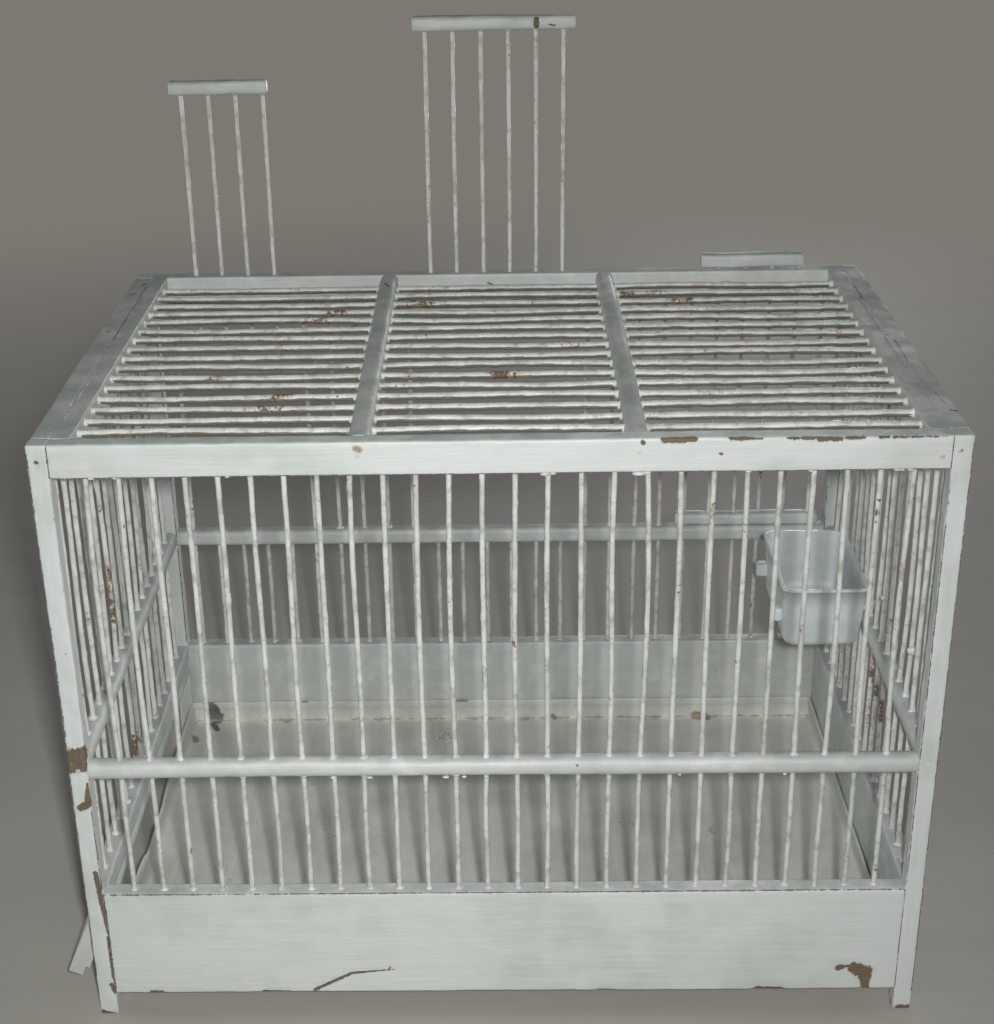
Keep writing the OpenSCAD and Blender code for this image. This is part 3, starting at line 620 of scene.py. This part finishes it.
# %% Roof wires
roof_low, roof_high = box_of("roof_wires")
roof_z = (roof_low[2] + roof_high[2]) / 2
starts = [(roof_low[0], y, roof_z) for y in side_places]
ends = [(roof_high[0], y, roof_z) for y in side_places]
roof_stops = [span("left_roof_rail", 0)[1], *span("left_roof_bar", 0), *span("right_roof_bar", 0),
              span("right_roof_rail", 0)[0]]
marks = [0] + [(x - roof_low[0]) / (roof_high[0] - roof_low[0]) for x in roof_stops] + [1]
THICKER = 1.15  # The paint is thicker on the roof wires than the solids have it.
roof_r = THICKER * (roof_high[2] - roof_low[2]) / 2
roof_set = wires(starts, ends, ((0, 1, 0), (0, 0, 1)), marks, bow=0.55, seed=8, drops=9, bare=roof_r)
piece("roof_wire_set", roof_set, roof_wire_paint, "frame", ["roof_wires"])

# %% Door wires
DOOR_WIRE_R = 1.2 * MM
for door, members in door_wires.items():
    node = f"{door}_door_wires"
    low, high = span(node)
    door_set = uprights(rear_places[members], wall_y, low, high, [], seed=20 + len(door), bow=0.12, drops=0,
                        bare=DOOR_WIRE_R)
    piece(f"{door}_door_wire_set", door_set, wire_paint, f"{door}_door", [node])

# %% [markdown]
# ## Paint in the corners
# Where a wire enters the wood, the brush has left a small flared collar of paint. Each one is a closed
# turned shape: it starts wide on the wood and narrows up the wire. The bottom bars of the doors have worn it
# off the wires that guide them and off their own wires, and under the top bars it stays low.

# %% Paint collars
def collars(places, outward, seed, sides=10, bare=WIRE_R, thick=1.0, heights=(0.9, 2.2)):
    """Corners and faces of flared rings at places, each pointing along outward.

    At height h of H the radius is the wire's, plus (wide - wire) (1 - h / H) to the power 2.2, times a wave
    round the wire.
    """
    rng = np.random.default_rng(seed)
    n = np.asarray(outward, float)
    a = np.array([0, 0, 1.0]) if abs(n[2]) < 0.5 else np.array([1.0, 0, 0])
    b = np.cross(n, a)
    turn = 2 * np.pi * np.arange(sides) / sides
    share = np.array([0, 0, 0.12, 0.3, 0.55, 0.8, 1.0])
    made = []
    for place in places:
        tall, wide = rng.uniform(*heights) * MM, bare + thick * rng.uniform(0.4, 1.1) * MM
        radius = bare * 1.03 + (wide - bare) * (1 - share) ** 2.2
        height = share * tall
        height[0] = -0.3 * MM
        wave = 1 + 0.12 * np.sin(turn * rng.integers(2, 4) + rng.uniform(0, 6))
        spread = 1 + (wave - 1) * (1 - share)[:, None]
        points = np.asarray(place) + height[:, None, None] * n \
            + (radius[:, None] * spread)[..., None] * (np.cos(turn)[:, None] * a + np.sin(turn)[:, None] * b)
        made.append(closed_rings(points))
    return made


def wall_places(xs, ys, z):
    """Points at one height over arrays of x and y."""
    xs, ys = np.broadcast_arrays(np.asarray(xs, float), np.asarray(ys, float))
    return np.stack([xs, ys, np.full(xs.shape, z)], -1)


up, down = (0, 0, 1), (0, 0, -1)
walls = [(front_places, -wall_y), (-wall_x, side_places), (wall_x, side_places), (long_places, wall_y),
         (short_places, wall_y)]
guides = [i for members in door_wires.values() for i in (members[0] - 1, members[-1] + 1)]
unguided = np.array([x for x in long_places if x not in rear_places[guides]])
made = []
for number, (xs, ys) in enumerate(walls):
    made += collars(wall_places(xs, ys, board_top), up, 40 + number)
    made += collars(wall_places(xs, ys, mid_low if number else front_low), down, 50 + number)
    if number < 3:
        made += collars(wall_places(xs, ys, mid_high if number else front_high), up, 60 + number)
        made += collars(wall_places(xs, ys, top_low), down, 70 + number)
    elif number == 3:
        made += collars(wall_places(unguided, wall_y, mid_high), up, 63)
        made += collars(wall_places(unguided, wall_y, top_low), down, 73)
for number, x in enumerate(roof_stops):
    outward = (1, 0, 0) if number in (0, 2, 4) else (-1, 0, 0)
    made += collars([(x, y, roof_z) for y in side_places], outward, 80 + number, bare=roof_r, thick=0.45)
piece("paint_collars", made, wire_paint, "frame")
for door, members in door_wires.items():
    top_bar_low = box_of(f"{door}_door_top_bar")[0][2]
    made = collars(wall_places(rear_places[members], wall_y, top_bar_low), down, 91, heights=(0.5, 0.95))
    piece(f"{door}_door_paint_collars", made, wire_paint, f"{door}_door")

# %% [markdown]
# ## Battens
# A batten is a rounded rectangle carried along a straight line. Hand planing and brushed paint make its faces
# wander a little, so sums of waves along it and round it push the surface in and out by fractions of a
# millimetre, and where the paint has broken off, the surface sinks.

# %% Batten surfaces
def outline(half, edge, counts, steps=5):
    """Points and outward directions round a rounded rectangle, anticlockwise, in its own plane.

    Each corner is a quarter circle of radius edge about a point of the inner rectangle half - edge, and each
    side between two corners is cut into even parts, as many as counts gives for its direction.
    """
    points, ways = [], []
    inner = np.asarray(half) - edge
    signs = [(1, 1), (-1, 1), (-1, -1), (1, -1)]
    for turn, sign in enumerate(signs):
        angle = turn * np.pi / 2 + np.linspace(0, np.pi / 2, steps)
        way = np.stack([np.cos(angle), np.sin(angle)], -1)
        arc = inner * sign + edge * way
        after = inner * signs[(turn + 1) % 4] + edge * way[-1]
        count = counts[turn % 2]
        share = np.arange(1, count)[:, None] / count
        points += [arc, arc[-1] + share * (after - arc[-1])]
        ways += [way, np.repeat(way[-1:], len(share), 0)]
    return np.concatenate(points), np.concatenate(ways)


HOLLOW = 0.35  # The depth of a break in the paint, in millimetres.


def batten(low, high, axis, edge, seed, wave=0.13, lump=0.05, bend=0.1, over=0.25, nose=0.3, step=1.7,
           hollows=(), inside=False):
    """Corners and faces of a batten between two corners of its box. Only the box is in metres here.

    With s along the batten and a the place round it, a point is its outline point, plus its outward direction
    times the sum of slow waves sin(s / l + k a + phase) and quick ones, plus a slow bend of the whole section.
    At each end the section shrinks over the length nose, as a quarter circle does. A hollow (from, to, width)
    pushes points near its line inwards. A batten that slides stays inside its box.
    """
    rng = np.random.default_rng(seed)
    low, high = np.asarray(low) / MM, np.asarray(high) / MM
    others = [(axis + 1) % 3, (axis + 2) % 3]
    middle = (low + high) / 2
    half = (high - low)[others] / 2
    section, ways = outline(half, edge, [max(1, int(2 * size / step)) for size in half - edge])
    around = 2 * np.pi * np.arange(len(section)) / len(section)
    begin, end = low[axis] - over, high[axis] + over
    count = int((end - begin - 2 * nose) / step) + 2
    quarter = np.linspace(0, np.pi / 2, 4)[:-1]
    rounding, narrowing = nose * (1 - np.cos(quarter)), nose * (1 - np.sin(quarter))
    s = np.concatenate([begin + rounding, np.linspace(begin + nose, end - nose, count), end - rounding[::-1]])
    shrink = np.concatenate([narrowing, np.zeros(count), narrowing[::-1]])
    push = np.zeros((len(s), len(section)))
    for size, lengths, turns in ((wave, (60, 33, 21), (0, 1, 2)), (lump, (7.3, 4.1, 2.6), (1, 3, 5))):
        for length, turn in zip(lengths, turns):
            phase = rng.uniform(0, 2 * np.pi, 2)
            push += size * np.sin(s[:, None] / length + turn * around + phase[0]) \
                * (0.6 + 0.4 * np.sin(s[:, None] / (length * 3.7) + phase[1]))
    share = (s - begin) / (end - begin)
    sway = bend * np.stack([np.sin(np.pi * share * k + rng.uniform(0, 6)) for k in (1, 2)], -1)
    flat = section + ways * (push - shrink[:, None])[..., None] + sway[:, None]
    points = np.empty((len(s), len(section), 3))
    points[..., axis] = s[:, None]
    points[..., others] = flat + middle[others]
    out = np.zeros_like(points)
    out[..., others] = ways
    for start, stop, width, _ in hollows:
        start, line = np.asarray(start, float), np.subtract(stop, start)
        share = np.clip((points - start) @ line / max(line @ line, 1e-9), 0, 1)
        apart = np.linalg.norm(points - start - share[..., None] * line, axis=-1)
        points -= out * (HOLLOW * np.clip(1.6 - apart / width, 0, 1))[..., None]
    if inside:
        points = np.clip(points, low, high)
    return closed_rings(points * MM)

# %% Build the battens
ALONG = {0: (paint_x, rail_breaks), 1: (paint_y, cross_breaks), 2: (paint_z, ())}
OWN = {"front_top_rail": (top_rail_paint, top_rail_breaks), "front_base_board": (board_paint, board_breaks),
       "front_left_post": (left_post_paint, left_post_breaks),
       "front_right_post": (right_post_paint, right_post_breaks)}


def painted_piece(node, axis, edge, seed, body="frame", **options):
    """Replaces a CAD node by a batten of the same box, painted along its length."""
    low, high = box_of(node)
    finish, breaks = OWN.get(node, ALONG[axis])
    near = [b for b in breaks if np.all(np.minimum(b[0], b[1]) > low / MM - 4)
            and np.all(np.maximum(b[0], b[1]) < high / MM + 4)]
    piece(f"{node}_painted", [batten(low, high, axis, edge, seed, hollows=near, **options)], finish, body,
          [node])


for number, node in enumerate(["front_left_post", "front_right_post", "rear_left_post", "rear_right_post"]):
    painted_piece(node, 2, 1.3, 100 + number, over=0, nose=0.9, lump=0.09)
for number, (node, axis, edge) in enumerate([
        ("front_top_rail", 0, 1.3), ("left_top_rail", 1, 0.7), ("right_top_rail", 1, 0.7),
        ("left_roof_rail", 1, 0.6), ("right_roof_rail", 1, 0.6), ("left_roof_bar", 1, 3.2),
        ("right_roof_bar", 1, 3.2), ("front_mid_rail", 0, 4.3), ("left_mid_rail", 1, 4.3),
        ("right_mid_rail", 1, 4.3), ("front_base_board", 0, 1.3), ("rear_base_board", 0, 1.3),
        ("right_base_board", 1, 1.3), ("left_base_rail", 1, 1.3)]):
    painted_piece(node, axis, edge, 110 + number, over=1.1 if "roof" in node else 0.25)
for number, door in enumerate(door_wires):
    for place in ("top", "bottom"):
        painted_piece(f"{door}_door_{place}_bar", 0, 2.6, 130 + 2 * number + len(place), f"{door}_door",
                      wave=0.22, lump=0.11, bend=0.2, over=-0.15, nose=1.4, step=1.1, inside=True)

# %% [markdown]
# The rear rails stay as they are, because their drilled holes guide the doors. They get the enamel, and so do
# the flap, its pins and the nail heads.

# %% Finish the pieces that stay
def finish_node(node, material):
    """Gives a CAD node a material."""
    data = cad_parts[node].data
    data.materials.clear()
    data.materials.append(material)


for node, finish in (("rear_top_rail", paint_x), ("rear_mid_rail", paint_x), ("tray_flap", paint_y),
                     ("frame_nails", wire_paint), ("flap_pins", wire_paint)):
    finish_node(node, finish)
print("Battens finished")

# %% [markdown]
# ## Bare runners
# The two battens under the tray were never painted.

# %% Bare wood finish
runner_wood, shader, where = new_finish("bare_softwood")
feed(shader, Base_Color=use(wood, "Color", Vector=where, Stretch=(0.05, 1, 1)))
shader.inputs["Roughness"].default_value = 0.8
finish_node("front_tray_runner", runner_wood)
finish_node("rear_tray_runner", runner_wood)
print("Runner finish:", runner_wood.name)


# %% [markdown]
# ## Tray
# The tray is a pan of thin sheet: a rounded rectangle carried along a profile, from the middle of the floor
# out and up the inner wall, over the folded hem, down the outer wall and back under. Its left rim has been
# knocked outward, and the sheet of its floor has slow dents.

# %% Pan surfaces
def pan(middle, half, profile, spacing=6):
    """Rings of a pan in millimetres, clockwise so that faces look outwards.

    Each profile entry (inset, z, r) is one rounded rectangle at height z. Its half size is the rim's less the
    inset, and its corner radius is r.
    """
    counts = [int(2 * size / spacing) + 1 for size in half]
    rings = []
    for inset, z, r in profile:
        ring = outline(half - inset, r, counts, 7)[0] + middle
        rings.append(np.column_stack([ring, np.full(len(ring), z)]))
    return np.array(rings)[:, ::-1]


def floor_rings(half, z, r, outward, edge=3.0):
    """Profile entries that spread a floor from near its middle to the inset edge, or back again."""
    reach = min(half) - edge
    insets = edge + np.array([0.96, 0.8, 0.6, 0.42, 0.27, 0.14, 0.05]) * reach
    entries = [(float(i), z, float(min(r, 0.3 + 0.1 * (min(half) - i)))) for i in insets]
    return entries if outward else entries[::-1]

# %% Tray surface
SHEET, FOLD = 1, 2.2  # The thickness of the sheet, and the radius between the floor and the wall.
tray_low, tray_high = (corner / MM for corner in box_of("tray"))
half, middle = (tray_high - tray_low)[:2] / 2, (tray_high + tray_low)[:2] / 2
bottom, rim = tray_low[2], tray_high[2]
floor_top = bottom + SHEET
profile = floor_rings(half, floor_top, 2, True)
profile += [(SHEET + FOLD, floor_top, 2), (SHEET + FOLD * 0.3, floor_top + FOLD * 0.3, 2),
            (SHEET, floor_top + FOLD, 2), (SHEET, rim - 5.8, 2), (1.1, rim - 5.4, 2), (1.45, rim - 4.9, 1.6),
            (1.6, rim - 4, 1.5), (1.7, rim - 1.6, 1.4), (1.6, rim - 0.5, 1.5), (1.2, rim, 1.9),
            (0.5, rim - 0.2, 2.5), (0.1, rim - 0.9, 2.9), (0, rim - 2, 3), (0, bottom + 1.6, 3),
            (0.5, bottom + 0.5, 2.6), (1.6, bottom, 1.6)]
profile += floor_rings(half, bottom, 1.5, False)
shell = pan(middle, half, profile)
x, y, z = shell[..., 0], shell[..., 1], shell[..., 2]

# The left rim is knocked outward, most near y = -62 and least where the middle of the flap has held it.
up_wall = np.clip((z - floor_top) / (rim - floor_top), 0, 1)
held = np.clip((y + 47) / 6, 0, 1) * np.clip((32 - y) / 26, 0, 1)
knock = 1.5 - 1.2 * held + 1.1 * np.exp(-((y + 62) / 17) ** 2)
shell[..., 0] -= np.clip((-190 - x) / 10, 0, 1) * up_wall ** 1.5 * knock

# Slow dents in the top of the floor, which fade out before the walls, and small waves along the rim.
dents = 0.35 * np.sin(x / 31 + 1) * np.sin(y / 23 + 0.5) + 0.18 * np.sin(x / 12 + y / 17)
on_floor = np.clip((floor_top + 0.1 - z) / 0.1, 0, 1) * np.clip((z - floor_top + 0.5) / 0.1, 0, 1)
edge_fade = np.clip((half[0] - 8 - np.abs(x)) / 20, 0, 1) * np.clip((half[1] - 8 - np.abs(y)) / 20, 0, 1)
shell[..., 2] += on_floor * edge_fade * np.maximum(dents, -0.45)
shell[..., 2] += 0.18 * up_wall * (np.sin(x / 17 + y / 13) + 0.5 * np.sin(x / 5.3 - y / 6.1))
print("Tray surface:", shell.shape[:2], "points")

# %% Tray finish
tray_paint, shader, where = new_finish("worn_tray_paint")
cloud = ramp(noise(where, 22, 4, 0.6), 0.35, 0.7)
paint = blend(cloud, colour(204, 207, 199), colour(184, 188, 178))
streak = noise(stretch(where, (1, 0.08, 1)), 220, 3, 0.6)
paint = cover(paint, ramp(streak, 0.45, 0.75), 0.35, (216, 219, 212))
dirt = use(specks, "Mask", Vector=where, Grain=420, Patches=26, Spread=0.4)
paint = cover(paint, dirt, 0.6, (128, 112, 88))
rag = ragged(where, 1.0)
rust = reach_of(where, [
    ((-199, 104, 21), (-198, 101, 20), 2.2, 0), ((128, 124, 22), (135, 123, 20), 3, 0.2),
    ((-130, 124, 35), (-127, 124, 35), 1.0, 0.4), ((-30, 124, 35), (-22, 124, 34.4), 1.2, 0.4),
    ((34, 124, 22), (36, 124, 20), 1.6, 0.2)], rag)
paint = cover(paint, ramp(rust, 1.5, 0.6), 0.8, (124, 98, 62))

# The paint has peeled in a band about 1.1 mm wide beside the fold along the rear wall.
PEEL_WIDTH, REAR_WALL = 1.1 * MM, (0.117, 0.12)
fold_line = maths("ABSOLUTE", part_of(where, 2) - (floor_top + 1.2) * MM, 0.0)
peel = fold_line / PEEL_WIDTH + noise(where, 110, 4, 0.7) * 4.2
peel = ramp(peel, 2.55, 2.15) * ramp(part_of(where, 1), *REAR_WALL)
paint = cover(paint, peel, 0.6, (112, 100, 80))
bare = reach_of(where, [((-193, 124, 38), (-188, 123.5, 24), 3.4, -0.5),
                        ((-190, 121, 21), (-186, 114, 20), 2.5, 0.3)], rag)
metal = ramp(bare, 1.0, 0.9)
steel = blend(noise(where, 300, 3), colour(104, 105, 102), colour(146, 148, 143))
feed(shader, Metallic=metal * 0.6)
high = noise(where, 260, 3) - maths("MAXIMUM", metal, peel) * 0.6
coat(shader, blend(metal, paint, steel), 0.44 + cloud * 0.12, high, 0.4, 0.0005)
piece("tray_pan", [closed_rings(shell * MM)], tray_paint, "tray", ["tray"])


# %% [markdown]
# ## Feeder
# The feeder is moulded in milky plastic: the same kind of pan, with a rounded bottom edge inside and out, two
# hooks that reach between the wires and over the mid rail, and two lugs on the side towards the birds.

# %% Feeder finish
milky, shader, where = new_finish("milky_plastic")
cloud = ramp(noise(where, 70, 3, 0.6), 0.3, 0.75)
plastic = blend(cloud, colour(210, 216, 216), colour(196, 203, 202))
dust = use(specks, "Mask", Vector=where, Grain=600, Patches=60, Spread=0.3)
plastic = cover(plastic, dust, 0.5, (160, 158, 146))
shader.inputs["Subsurface Weight"].default_value = 0.25
shader.inputs["Subsurface Radius"].default_value = (0.0035, 0.004, 0.0045)
shader.inputs["Subsurface Scale"].default_value = 1
coat(shader, plastic, 0.3 + cloud * 0.15, noise(where, 500, 2), 0.2, 0.0003)
print("Feeder finish:", milky.name)


# %% Feeder shape
WALL, DEPTH = 1.6, 37.5
feeder_low, feeder_high = (corner / MM for corner in box_of("feeder"))
rim_right = span("right_wires", 0)[0] / MM - 1.45
half, rim, bottom = np.array([24.3, 39.8]), feeder_high[2], feeder_low[2]
middle = np.array([rim_right - half[0], (feeder_low[1] + feeder_high[1]) / 2])


def wall(z, thick):
    """Inset of the wall at height z: it leans in by 2.4 mm over the depth. thick is 0 for its outer face."""
    return 0.8 + 2.4 / DEPTH * (rim - z) + thick


def foot(z_low, thick, r, corner):
    """Entries round the bottom edge: a quarter circle of radius r between the wall and the floor."""
    angle = np.linspace(0, np.pi / 2, 6)
    edge = wall(z_low + r, thick)
    return [(edge + r * (1 - np.cos(a)), z_low + r * (1 - np.sin(a)), corner - r * 0.45 * (1 - np.cos(a)))
            for a in angle]


inner_foot = foot(bottom + WALL, WALL, 4.2, 4.6)[::-1]
outer_foot = foot(bottom, 0, 5.4, 6.2)
profile = floor_rings(half, bottom + WALL, 2.5, True, inner_foot[0][0]) + inner_foot
profile += [(wall(rim - 10, WALL), rim - 10, 4.8), (wall(rim - 1.2, WALL), rim - 1.2, 5),
            (wall(rim, 1.5), rim - 0.3, 5.1), (2.0, rim, 5.3), (0.6, rim, 6.4), (0.1, rim - 0.35, 6.8),
            (0, rim - 0.9, 6.9), (0.15, rim - 1.4, 6.8), (wall(rim - 1.5, 0), rim - 1.5, 6.2),
            (wall(rim - 12, 0), rim - 12, 6.2)] + outer_foot
profile += floor_rings(half, bottom, 3, False, outer_foot[-1][0])
cup = pan(middle, half, profile, spacing=3)
cup[..., 0] += 0.25 * np.sin(cup[..., 1] / 24) * (cup[..., 2] - bottom) / DEPTH


def soft_block(low, high, edge, seed):
    """A small block with rounded edges, moulded like a batten along its longest side."""
    low, high = np.asarray(low, float), np.asarray(high, float)
    return batten(low * MM, high * MM, int(np.argmax(high - low)), edge, seed, wave=0.03, lump=0.02, bend=0.02,
                  over=0, nose=0.9, step=0.9)


HALF_HOOK, HOOK_END = 3.5, 215.3
arm_low = span("right_mid_rail")[1] / MM + 0.3
pitch = (side_places[1] - side_places[0]) / MM
blocks = []
for number, y in enumerate((middle[1] - 1.5 * pitch, middle[1] + 1.5 * pitch)):
    near, far = y - HALF_HOOK, y + HALF_HOOK
    root = middle[0] + half[0] - wall(arm_low, 0) - 0.8
    blocks.append(soft_block((root, near, arm_low), (HOOK_END, far, arm_low + 3), 0.7, 150 + number))
    blocks.append(soft_block((HOOK_END - 3, near, arm_low - 8), (HOOK_END, far, arm_low + 2.9), 0.7,
                             152 + number))
lug_z = rim - 20.5
root = middle[0] - half[0] + wall(lug_z, 0)
for number, y in enumerate((middle[1] - 26, middle[1] + 30)):
    blocks.append(soft_block((root - 6, y - 3.5, lug_z - 3.75), (root + 0.8, y + 3.5, lug_z + 3.75), 1.6,
                             154 + number))
piece("feeder_cup", [closed_rings(cup * MM)] + blocks, milky, "feeder", ["feeder"])

# %% [markdown]
# ## Runs and seams of paint
# Thick enamel has run under the top rail and hangs in small beads, and it fills the joint between each roof
# rail and the rail beside it, but for a few short cracks. A bead is a turned drop, and a seam is a low batten.

# %% Paint beads and seams
def beads(places, seed, sides=10):
    """Corners and faces of beads at (x, y, z, width, height) in millimetres.

    With a from 0 to pi down the bead, its radius is width sin(a) and its height is -height (1 - cos(a)) / 2,
    squashed to half its width along Y.
    """
    rng = np.random.default_rng(seed)
    turn = 2 * np.pi * np.arange(sides) / sides
    down = np.linspace(0.12, np.pi - 0.12, 7)
    made = []
    for x, y, z, width, tall in places:
        ring = np.stack([np.cos(turn), -0.6 * np.sin(turn), np.zeros(sides)], -1)
        points = width * np.sin(down)[:, None, None] * ring * rng.uniform(0.9, 1.1, (1, sides, 1))
        points[..., 2] -= tall * (1 - np.cos(down))[:, None] / 2 - tall * 0.35
        made.append(closed_rings((points + (x, y, z)) * MM))
    return made


rng = np.random.default_rng(170)
TOP_RAIL_LOW, MID_RAIL_LOW = 306.2, front_low / MM + 0.2
drops = [(21, -134.2, TOP_RAIL_LOW, 2.4, 2.2), (24.5, -134.2, 306.3, 1.6, 1.5), (63, -134.3, 306, 3.4, 2.0),
         (67, -134.2, TOP_RAIL_LOW, 1.8, 1.4), (206, -134.8, 315.4, 1.6, 1.8)]
for y, z, count in ((-134.3, TOP_RAIL_LOW, 9), (-133, MID_RAIL_LOW, 7)):
    drops += [(x, y, z, *size) for x, size in zip(rng.uniform(-195, 195, count),
                                                 rng.uniform((0.9, 0.8), (1.9, 1.5), (count, 2)))]
drops += [(207.2, -86.8, 187.5, 2.9, 5.2), (206.4, -24, 184.6, 2.2, 3.2)]
piece("paint_beads", beads(drops, 171), wire_paint, "frame")
for side, name in ((-1, "left"), (1, "right")):
    joint, top = side * 202.5, span(f"{name}_top_rail")[1] / MM
    gaps = [(-125, -86 if side < 0 else -104), (-78, 4), (8, 70), (96, 125)]
    strips = []
    for number, (start, end) in enumerate(gaps):
        low, high = np.array([[joint - 1.6, start, top - 1.1], [joint + 1.6, end, top + 0.05]]) * MM
        strips.append(batten(low, high, 1, 0.12, 180 + side + number, wave=0.03, lump=0.04, bend=0.05, over=0,
                             nose=0.4, step=1.6))
    piece(f"{name}_seam_paint", strips, paint_y, "frame")

# %% [markdown]
# ## Floor and backdrop
# A plain pale floor carries the cage and takes its shadow. Far from the cage it turns into the colour of the
# backdrop, which the camera sees behind everything, so that no horizon shows from any side.

# %% Floor and backdrop
BACKDROP = colour(124, 121, 115)


def shows_backdrop(tree):
    """1 for a ray that comes from the camera, from a glossy face or through glass, and otherwise 0."""
    path = add(tree, "ShaderNodeLightPath").outputs
    seen = Field(path["Is Camera Ray"]) + Field(path["Is Glossy Ray"])
    return maths("ADD", seen, Field(path["Is Transmission Ray"]), clamp=True)


def mixed(share, a, b):
    """Shader a, with a share of shader b, from their nodes."""
    return result_of("ShaderNodeMixShader", {0: share, 1: Field(a.outputs[0]), 2: Field(b.outputs[0])})


world = bpy.data.worlds.new("studio")
world.use_nodes = True
tree = world.node_tree
soft = tree.nodes["Background"]
soft.inputs["Color"].default_value = (0.93, 0.96, 1, 1)
soft.inputs["Strength"].default_value = 0.1
shown = add(tree, "ShaderNodeBackground", {"Color": BACKDROP, "Strength": 1.0})
feed(tree.nodes["World Output"], Surface=mixed(shows_backdrop(tree), soft, shown))
bpy.context.scene.world = world

floor_mesh = bpy.data.meshes.new("floor")
floor_mesh.from_pydata([(-6, -6, 0), (6, -6, 0), (6, 6, 0), (-6, 6, 0)], [], [(0, 1, 2, 3)])
floor = bpy.data.objects.new("floor", floor_mesh)
bpy.context.scene.collection.objects.link(floor)
floor_finish, shader, where = new_finish("pale_floor")
tree = floor_finish.node_tree
tone = noise(stretch(where, (1, 4, 1)), 5, 4, 0.6)
feed(shader, Base_Color=blend(tone, colour(158, 155, 147), colour(176, 173, 165)))
shader.inputs["Roughness"].default_value = 0.75
glow = add(tree, "ShaderNodeEmission", {"Color": BACKDROP, "Strength": 1.0})
away = ramp(vector_maths("LENGTH", where, output="Value"), 0.4, 1.7) * shows_backdrop(tree)
feed(tree.nodes["Material Output"], Surface=mixed(away, shader, glow))
floor_mesh.materials.append(floor_finish)
print("Floor finish:", floor_finish.name)
